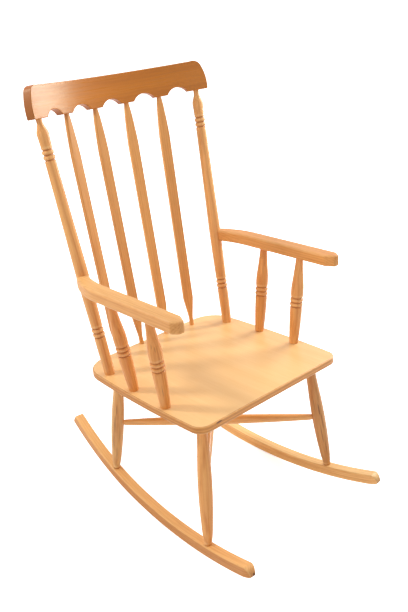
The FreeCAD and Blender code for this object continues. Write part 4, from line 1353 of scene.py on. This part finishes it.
def post_profile(length):
    high = length - POST_UPPER_DROP
    slim = POST_WAIST + RING_DEPTH * 0.5
    vase = length - POST_VASE_DROP
    cone = length - POST_CONE_DROP
    foot_middle = (POST_RING_HEIGHT - RING_HALF) * 0.5
    swell_middle = (rings_top(POST_RING_HEIGHT) + POST_SWELL_HEIGHT) * 0.5
    waist_middle = (POST_SWELL_HEIGHT + high) * 0.5
    to_foot = (between(POST_BASE_RADIUS, POST_RING_RADIUS, 0.7), foot_middle)
    to_swell = (between(POST_SWELL_RADIUS, POST_RING_RADIUS, 0.3), swell_middle)
    to_waist = (between(POST_SWELL_RADIUS, POST_WAIST, 0.45), waist_middle)
    return [
        ((POST_BASE_RADIUS, -SOCKET_DEPTH), None),
        ((POST_BASE_RADIUS, 0.2), to_foot),
        *rings_at(POST_RING_RADIUS, POST_RING_HEIGHT, to_swell),
        ((POST_SWELL_RADIUS, POST_SWELL_HEIGHT), to_waist),
        *rings_at(slim, high, (POST_VASE * 0.96, vase - RING_SPACING)),
        ((POST_VASE, vase), (POST_VASE * 0.98, (vase + cone) * 0.5)),
        ((POST_CONE, cone), None),
        ((POST_NECK, length - POST_NECK_DROP), None),
        ((POST_NECK, length + POST_TENON), None),
    ]


for side_name, side in SIDES.items():
    base, top = post_ends(side)
    length = (top - base).length
    grooves = grooves_from(POST_RING_HEIGHT) + grooves_from(length - POST_UPPER_DROP)
    tones = POST_TONES[side_name]
    turn_piece("post_" + side_name, post_profile(length), base, top, tones, grooves)

# %% [markdown]
# ### Legs
#
# The legs are plain: thin at the foot where they enter the rocker, swollen through the middle
# where the stretchers are bored in, and necked just under the seat. They splay outward and
# backward or forward, so each one is set out between a point on the rocker and a point under
# the seat. Two of them show long dark streaks in the grain.

# %% Legs
LEG_FOOT = 9.6
LEG_SHIN = 14.6
LEG_BELLY = 17.8
LEG_NECK = 12.2
LEG_SHIN_LENGTH = 56.0
LEG_NECK_LENGTH = 72.0
LEG_TENON = 15.0
# a dark line painted round the foot where it meets the rocker
LEG_FOOT_LINE = 0.5
# reach along the rocker, then half width and distance back under the seat
LEG_PLACES = {"front": (-311.5, 193.0, 58.0), "rear": (114.5, 166.0, 426.0)}
# each leg's tone and redness: the darker, greyer legs carry painted shade on top of their own tone
LEG_TONES_AND_SHADE = {
    "front_left": (0.96, 0.5), "rear_left": (0.87, -0.9),
    "front_right": (0.74, 0.4), "rear_right": (0.85, 0.0),
}
LEG_FLAWS = {
    "rear_left": (
        (196.0, 16.6, -6.0, 22.0, 1.6, 0.5), (150.0, 17.4, -20.0, 34.0, 2.0, 0.6),
        (96.0, 16.4, -30.0, 46.0, 1.8, 0.5), (128.0, 17.0, 24.0, 52.0, 1.4, 0.35),
        (60.0, 14.8, 6.0, 40.0, 1.4, 0.35),
    ),
    "front_right": (
        (190.0, 17.2, 14.0, 22.0, 2.2, 0.65), (152.0, 17.4, 26.0, 30.0, 1.8, 0.55),
        (110.0, 17.0, 2.0, 44.0, 1.6, 0.45), (212.0, 16.6, -22.0, 40.0, 1.4, 0.35),
        (70.0, 15.2, 22.0, 40.0, 1.6, 0.4),
    ),
}


def leg_ends(end, side):
    reach, top_half, top_back = LEG_PLACES[end]
    radius = rocker_radius(reach)
    height = radius - math.sqrt((radius - ROCKER_DEPTH) ** 2 - reach * reach)
    top = on_seat(side * top_half, top_back, -SEAT_THICKNESS)
    return on_rocker(side, reach, 0.0, height), top


def leg_profile(length):
    neck_middle = length - LEG_NECK_LENGTH * 0.5
    return [
        ((LEG_FOOT, -LEG_TENON), None),
        ((LEG_FOOT, LEG_FOOT_LINE), None),
        ((LEG_FOOT, LEG_FOOT_LINE + RING_HALF), None),
        ((LEG_FOOT, length * 0.02), (between(LEG_FOOT, LEG_SHIN, 0.62), LEG_SHIN_LENGTH * 0.5)),
        ((LEG_SHIN, LEG_SHIN_LENGTH), (LEG_BELLY, length * 0.49)),
        ((LEG_SHIN, length - LEG_NECK_LENGTH), (between(LEG_NECK, LEG_SHIN, 0.56), neck_middle)),
        ((LEG_NECK, length), None),
        ((LEG_NECK, length + SOCKET_DEPTH), None),
    ]


for side_name, side in SIDES.items():
    for end in LEG_PLACES:
        foot, top = leg_ends(end, side)
        key = end + "_" + side_name
        turn_piece(
            "leg_" + key, leg_profile((top - foot).length), foot, top, LEG_TONES_AND_SHADE[key],
            grooves=(LEG_FOOT_LINE,), flaws=LEG_FLAWS.get(key, ()),
        )

# %% [markdown]
# ### Stretchers
#
# Two long stretchers cross under the seat, each from a front leg to the opposite rear one.
# They are thickest in the middle, where they are lapped into each other.

# %% Stretchers
STRETCHER_END = 8.2
STRETCHER_MIDDLE = 13.2
STRETCHER_TENON = 6.5
# how far up the front and the rear leg they enter
STRETCHER_FRONT_SHARE = 0.48
STRETCHER_REAR_SHARE = 0.47
STRETCHER_TONES = {"left": (0.92, -0.7), "right": (1.04, -0.7)}


def stretcher_profile(length):
    first = LEG_BELLY - SOCKET_DEPTH
    shoulder = LEG_BELLY - 0.2
    taper = shoulder + RING_DEPTH * 2.0
    return [
        ((STRETCHER_TENON, first), None),
        ((STRETCHER_TENON, shoulder), None),
        ((STRETCHER_END, taper), (STRETCHER_MIDDLE, length * 0.5)),
        ((STRETCHER_END, length - taper), None),
        ((STRETCHER_TENON, length - shoulder), None),
        ((STRETCHER_TENON, length - first), None),
    ]


for side_name, side in SIDES.items():
    front_foot, front_top = leg_ends("front", side)
    rear_foot, rear_top = leg_ends("rear", -side)
    start = front_foot.lerp(front_top, STRETCHER_FRONT_SHARE)
    stop = rear_foot.lerp(rear_top, STRETCHER_REAR_SHARE)
    profile = stretcher_profile((stop - start).length)
    tones = STRETCHER_TONES[side_name]
    turn_piece("stretcher_%s_front" % side_name, profile, start, stop, tones)

# %% [markdown]
# ### Arm spindles
#
# The short spindles under the arms repeat the post's motif at a smaller scale: a swelling
# foot, three grooves, a full bulb above them, and a long taper to a thin neck.

# %% Arm spindles
SPINDLE_BASE = 12.2
SPINDLE_RING_HEIGHT = 107.0
SPINDLE_RING_RADIUS = 16.6
SPINDLE_SWELL = 17.2
SPINDLE_SWELL_RISE = 40.0
SPINDLE_NECK = 9.6
SPINDLE_LOWER_TENON = 8.0
SPINDLE_UPPER_TENON = 6.5
# half width and distance back on the seat, then the same under the arm
SPINDLE_PLACES = {"front": (230.0, 143.0, 257.0, 136.0), "rear": (227.7, 272.0, 263.0, 273.0)}
SPINDLE_TONES = {
    "front_left": (0.96, 1.1), "rear_left": (0.98, 1.2),
    "front_right": (1.03, 0.1), "rear_right": (0.90, 1.0),
}
SPINDLE_FLAWS = {
    "front_left": (
        (192.0, 15.6, -14.0, 26.0, 1.3, 0.5), (176.0, 16.2, 12.0, 22.0, 1.1, 0.4),
        (64.0, 15.0, 8.0, 30.0, 1.2, 0.4),
    ),
}


def spindle_profile(length):
    up = rings_top(SPINDLE_RING_HEIGHT)
    swell = up + SPINDLE_SWELL_RISE
    shoulder = SPINDLE_RING_RADIUS * 0.95
    foot_middle = (SPINDLE_RING_HEIGHT - RING_HALF) * 0.5
    return [
        ((SPINDLE_LOWER_TENON, -SOCKET_DEPTH), None),
        ((SPINDLE_LOWER_TENON, 0.0), None),
        ((SPINDLE_BASE, 0.2), (between(SPINDLE_BASE, SPINDLE_RING_RADIUS, 0.72), foot_middle)),
        *rings_at(
            SPINDLE_RING_RADIUS, SPINDLE_RING_HEIGHT,
            (SPINDLE_SWELL, up + SPINDLE_SWELL_RISE * 0.45),
        ),
        ((shoulder, swell), (between(SPINDLE_NECK, shoulder, 0.42), (swell + length) * 0.5)),
        ((SPINDLE_NECK, length - 0.2), None),
        ((SPINDLE_UPPER_TENON, length), None),
        ((SPINDLE_UPPER_TENON, length + SOCKET_DEPTH), None),
    ]


for side_name, side in SIDES.items():
    for end, (half, back, top_half, top_back) in SPINDLE_PLACES.items():
        base = on_seat(side * half, back, 0.0)
        top = on_arm(side * top_half, top_back, 0.0)
        key = end + "_" + side_name
        turn_piece(
            "arm_spindle_" + key, spindle_profile((top - base).length), base, top,
            SPINDLE_TONES[key], grooves_from(SPINDLE_RING_HEIGHT), SPINDLE_FLAWS.get(key, ()),
        )

# %% [markdown]
# ## Back spindles
#
# The four sticks between the posts are flat blades. Above the seat each has a short
# round-cornered neck and then widens evenly; under the crest rail it narrows in a fuller
# curve. A blade is a row of eight-cornered sections, each with its corners eased, and its
# broad face is turned to follow the crest rail. It is built as plain rings, because the flat
# section changes its proportions on the way up, which one swept circle can't do.

# %% Blade sections
BLADE_WIDTH = 29.5
BLADE_THICKNESS = 11.0
BLADE_BEVEL = 1.6
BLADE_NECK = 12.0
BLADE_NECK_BEVEL = 3.2
BLADE_NECK_LENGTH = 24.0
BLADE_SHOULDER = 84.0
BLADE_TAPER = 108.0
BLADE_FULLNESS = 0.62
BLADE_SOFTNESS = 0.2
BLADE_EASE = 0.4


def eased_section(width, thickness, bevel):
    """Eight corners, each eased with four points."""
    half, deep = width * 0.5, thickness * 0.5
    quarter = [(half, deep - bevel), (half - bevel, deep)]
    corners = quarter + [(-x, y) for x, y in quarter[::-1]]
    corners += [(-x, -y) for x, y in quarter] + [(x, -y) for x, y in quarter[::-1]]
    corners = [Vector(corner) for corner in corners]
    out = []
    for number, corner in enumerate(corners):
        before = (corners[number - 1] - corner).normalized() * bevel * BLADE_EASE
        after = (corners[(number + 1) % 8] - corner).normalized() * bevel * BLADE_EASE
        eased = [corner + before, corner + (before + after) * 0.25, corner + after]
        # one more point on the flat keeps the flat's shading even
        if number % 2:
            eased.append(corner + after * 2.0)
        else:
            eased.insert(0, corner + before * 2.0)
        out += eased
    return out


def blade_share(height, length):
    """How far the section has grown from a neck to the full blade."""
    low = (height - BLADE_NECK_LENGTH) / (BLADE_SHOULDER - BLADE_NECK_LENGTH)
    high = max(0.0, (length - height) / BLADE_TAPER) ** BLADE_FULLNESS
    share = min(1.0, max(0.0, min(low, high)))
    soft = share * share * (3.0 - 2.0 * share)
    return share * (1.0 - BLADE_SOFTNESS) + soft * BLADE_SOFTNESS


def blade_section(height, length):
    share = blade_share(height, length)
    return eased_section(
        between(BLADE_NECK, BLADE_WIDTH, share),
        between(BLADE_NECK, BLADE_THICKNESS, share),
        between(BLADE_NECK_BEVEL, BLADE_BEVEL, share),
    )


print("points round a blade:", len(blade_section(0.0, 1.0)))

# %% Back spindles
BLADE_STEP = 12.0
# the round peg at each end, as a small section: width, bevel, and where it starts and stops
PEG_SECTION = eased_section(9.0, 9.0, 2.4)
PEG_GAP = 0.2
PEG_DOWN = 12.0
PEG_UP = 18.0
# how far apart two blades are cut in the plank, per millimetre along the rail
BLADE_GRAIN = Vector((3.1, 0.0, 9.0))
# place along the rail, half width and distance back on the seat, and tone
BLADES = {
    "back_spindle_1": (-151.0, -133.0, 461.0, 0.97),
    "back_spindle_2": (-50.5, -45.6, 475.5, 0.98),
    "back_spindle_3": (50.5, 45.6, 475.5, 1.05),
    "back_spindle_4": (151.0, 133.0, 461.0, 1.08),
}


def blade_rows(length):
    """The heights and sections of a blade, from its lower peg to its upper one."""
    heights = {BLADE_STEP * k for k in range(1, int(length / BLADE_STEP))}
    heights |= {0.0, BLADE_SHOULDER, length - BLADE_TAPER, length}
    return [
        (-PEG_DOWN, PEG_SECTION),
        (-PEG_GAP, PEG_SECTION),
        *((height, blade_section(height, length)) for height in sorted(heights)),
        (length + PEG_GAP, PEG_SECTION),
        (length + PEG_UP, PEG_SECTION),
    ]


for node, (arc, base_half, base_back, tone) in BLADES.items():
    base = on_seat(base_half, base_back, 0.0)
    top = on_crest(arc, 0.0, CREST_PAD_HEIGHT)
    along_rail = (
        on_crest(arc + BLADE_WIDTH, 0.0, CREST_PAD_HEIGHT)
        - on_crest(arc - BLADE_WIDTH, 0.0, CREST_PAD_HEIGHT)
    )
    rows = blade_rows((top - base).length)
    points = [Vector((p.x, p.y, height)) for height, section in rows for p in section]
    around = len(PEG_SECTION)
    faces = ring_walls(len(rows), around)
    faces.append(tuple(range(around))[::-1])
    faces.append(tuple(range(len(points) - around, len(points))))
    mesh = bpy.data.meshes.new(node + "_blade")
    mesh.from_pydata([point * MM for point in points], [], faces)
    plank = BLADE_GRAIN * arc + Vector((0.0, 40.0, 0.0))
    paint_mark(mesh, "grain", [(point + plank) * MM for point in points])
    mesh.transform(stand(base, top, along_rail))
    finish_piece(mesh, node, BLADE_WOOD, (tone,), sharp=40.0)

# %% [markdown]
# ## Hidden dowels
#
# The dowels between arms and posts can't be seen once the chair stands, so they stay as the
# frame has them and only get bare wood.

# %% Dowels
dowel_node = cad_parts["arm_dowels"]
for slot in dowel_node.material_slots:
    slot.material = DOWEL_WOOD
print("dowels carry:", [slot.material.name for slot in dowel_node.material_slots])

# %% [markdown]
# ## The room, the light and the camera
#
# The photograph is a shop picture: the chair on pure white. The strongest light comes from
# the right, with a broad one from above, and smaller or weaker ones from behind, from both
# sides and from the front. The floor is a pale sheet that keeps only a soft shadow, and the
# world is white where the camera sees it and in reflections, but dimmer where it lights the
# wood, so that pale surfaces don't burn out.

# %% Floor
PAPER = {
    "Base Color": (0.9, 0.9, 0.9, 1),
    "Roughness": 0.9,
    "Specular IOR Level": 0.0,
    "Emission Color": (1, 1, 1, 1),
}
# the sheet glows only for the camera, and more toward its far edge, so that it meets the white
GLOW_REACH = (0.9, 2.6)
GLOW_STRENGTH = (0.68, 1.2)

bpy.ops.mesh.primitive_plane_add(size=30.0, location=(0, 0, -0.0005))
floor = bpy.context.object
floor.name = "studio_floor"
paper = bpy.data.materials.new("studio_paper")
paper.use_nodes = True
sheet = paper.node_tree
paper_shader = sheet.nodes["Principled BSDF"].inputs
for label, value in PAPER.items():
    paper_shader[label].default_value = value
from_chair = sheet.nodes.new("ShaderNodeTexCoord").outputs["Object"]
reach = vector_node("LENGTH", from_chair)
paper_path = sheet.nodes.new("ShaderNodeLightPath").outputs
glow = map_node(reach, *GLOW_REACH, *GLOW_STRENGTH)
glow = times(glow, paper_path["Is Camera Ray"])
feed(paper_shader["Emission Strength"], glow)
floor.data.materials.append(paper)
print("floor carries:", paper.name)

# %% World
WORLD_LIGHT = 0.48

world = bpy.data.worlds.new("studio")
bpy.context.scene.world = world
world.use_nodes = True
sky = world.node_tree
sky.nodes.clear()
path = sky.nodes.new("ShaderNodeLightPath").outputs
seen = math_node("ADD", path["Is Camera Ray"], path["Is Glossy Ray"], clamp=True)
seen = math_node("ADD", seen, path["Is Transmission Ray"], clamp=True)
backdrop = sky.nodes.new("ShaderNodeBackground")
backdrop.inputs["Color"].default_value = (1, 1, 1, 1)
feed(backdrop.inputs["Strength"], map_node(seen, 0.0, 1.0, WORLD_LIGHT, 1.0))
sky_out = sky.nodes.new("ShaderNodeOutputWorld")
feed(sky_out.inputs["Surface"], backdrop.outputs[0])
print("the world lights the wood at", WORLD_LIGHT)

# %% Lights
# each round lamp's place, the point it looks at, its width in metres and its power in watts
LAMPS = {
    "window_right": ((2.3, -0.12, 1.75), (0, 0.05, 0.7), 1.6, 62.0),
    "back_left": ((-1.5, 1.6, 2.3), (0, 0.05, 0.5), 0.4, 36.0),
    "rim_right": ((2.6, 0.7, 0.8), (0, 0.05, 0.6), 0.6, 14.0),
    "left_fill": ((-3.0, -0.6, 1.5), (0, 0, 0.5), 2.0, 11.0),
    "overhead": ((0.1, 0.0, 5.0), (0, 0, 0.4), 2.6, 40.0),
    "front_fill": ((-1.0, -3.0, 1.6), (0, 0, 0.5), 2.2, 4.5),
}
for name, (place, aim, width, power) in LAMPS.items():
    data = bpy.data.lights.new(name, "AREA")
    data.shape = "DISK"
    data.size = width
    data.energy = power
    lamp = bpy.data.objects.new(name, data)
    lamp.location = place
    lamp.rotation_euler = (Vector(aim) - Vector(place)).to_track_quat("-Z", "Y").to_euler()
    bpy.context.collection.objects.link(lamp)
    print("lamp %-12s %5.1f W, %.1f m wide" % (name, power, width))

# %% Camera
CAMERA_PLACE = (-1.16624, -1.26174, 1.44389)
CAMERA_TILT = math.radians(62.732)
CAMERA_TURN = math.radians(-42.336)
LENS = 44.12
SENSOR_HEIGHT = 36.0

camera_data = bpy.data.cameras.new("viewer")
camera_data.sensor_fit = "VERTICAL"
camera_data.sensor_height = SENSOR_HEIGHT
camera_data.lens = LENS
camera = bpy.data.objects.new("viewer", camera_data)
camera.location = CAMERA_PLACE
camera.rotation_euler = (CAMERA_TILT, 0.0, CAMERA_TURN)
bpy.context.collection.objects.link(camera)
bpy.context.scene.camera = camera
bpy.context.scene.view_settings.view_transform = "Standard"
print("camera at", tuple(round(value, 3) for value in camera.location))

# %% Update the scene
bpy.context.view_layer.update()
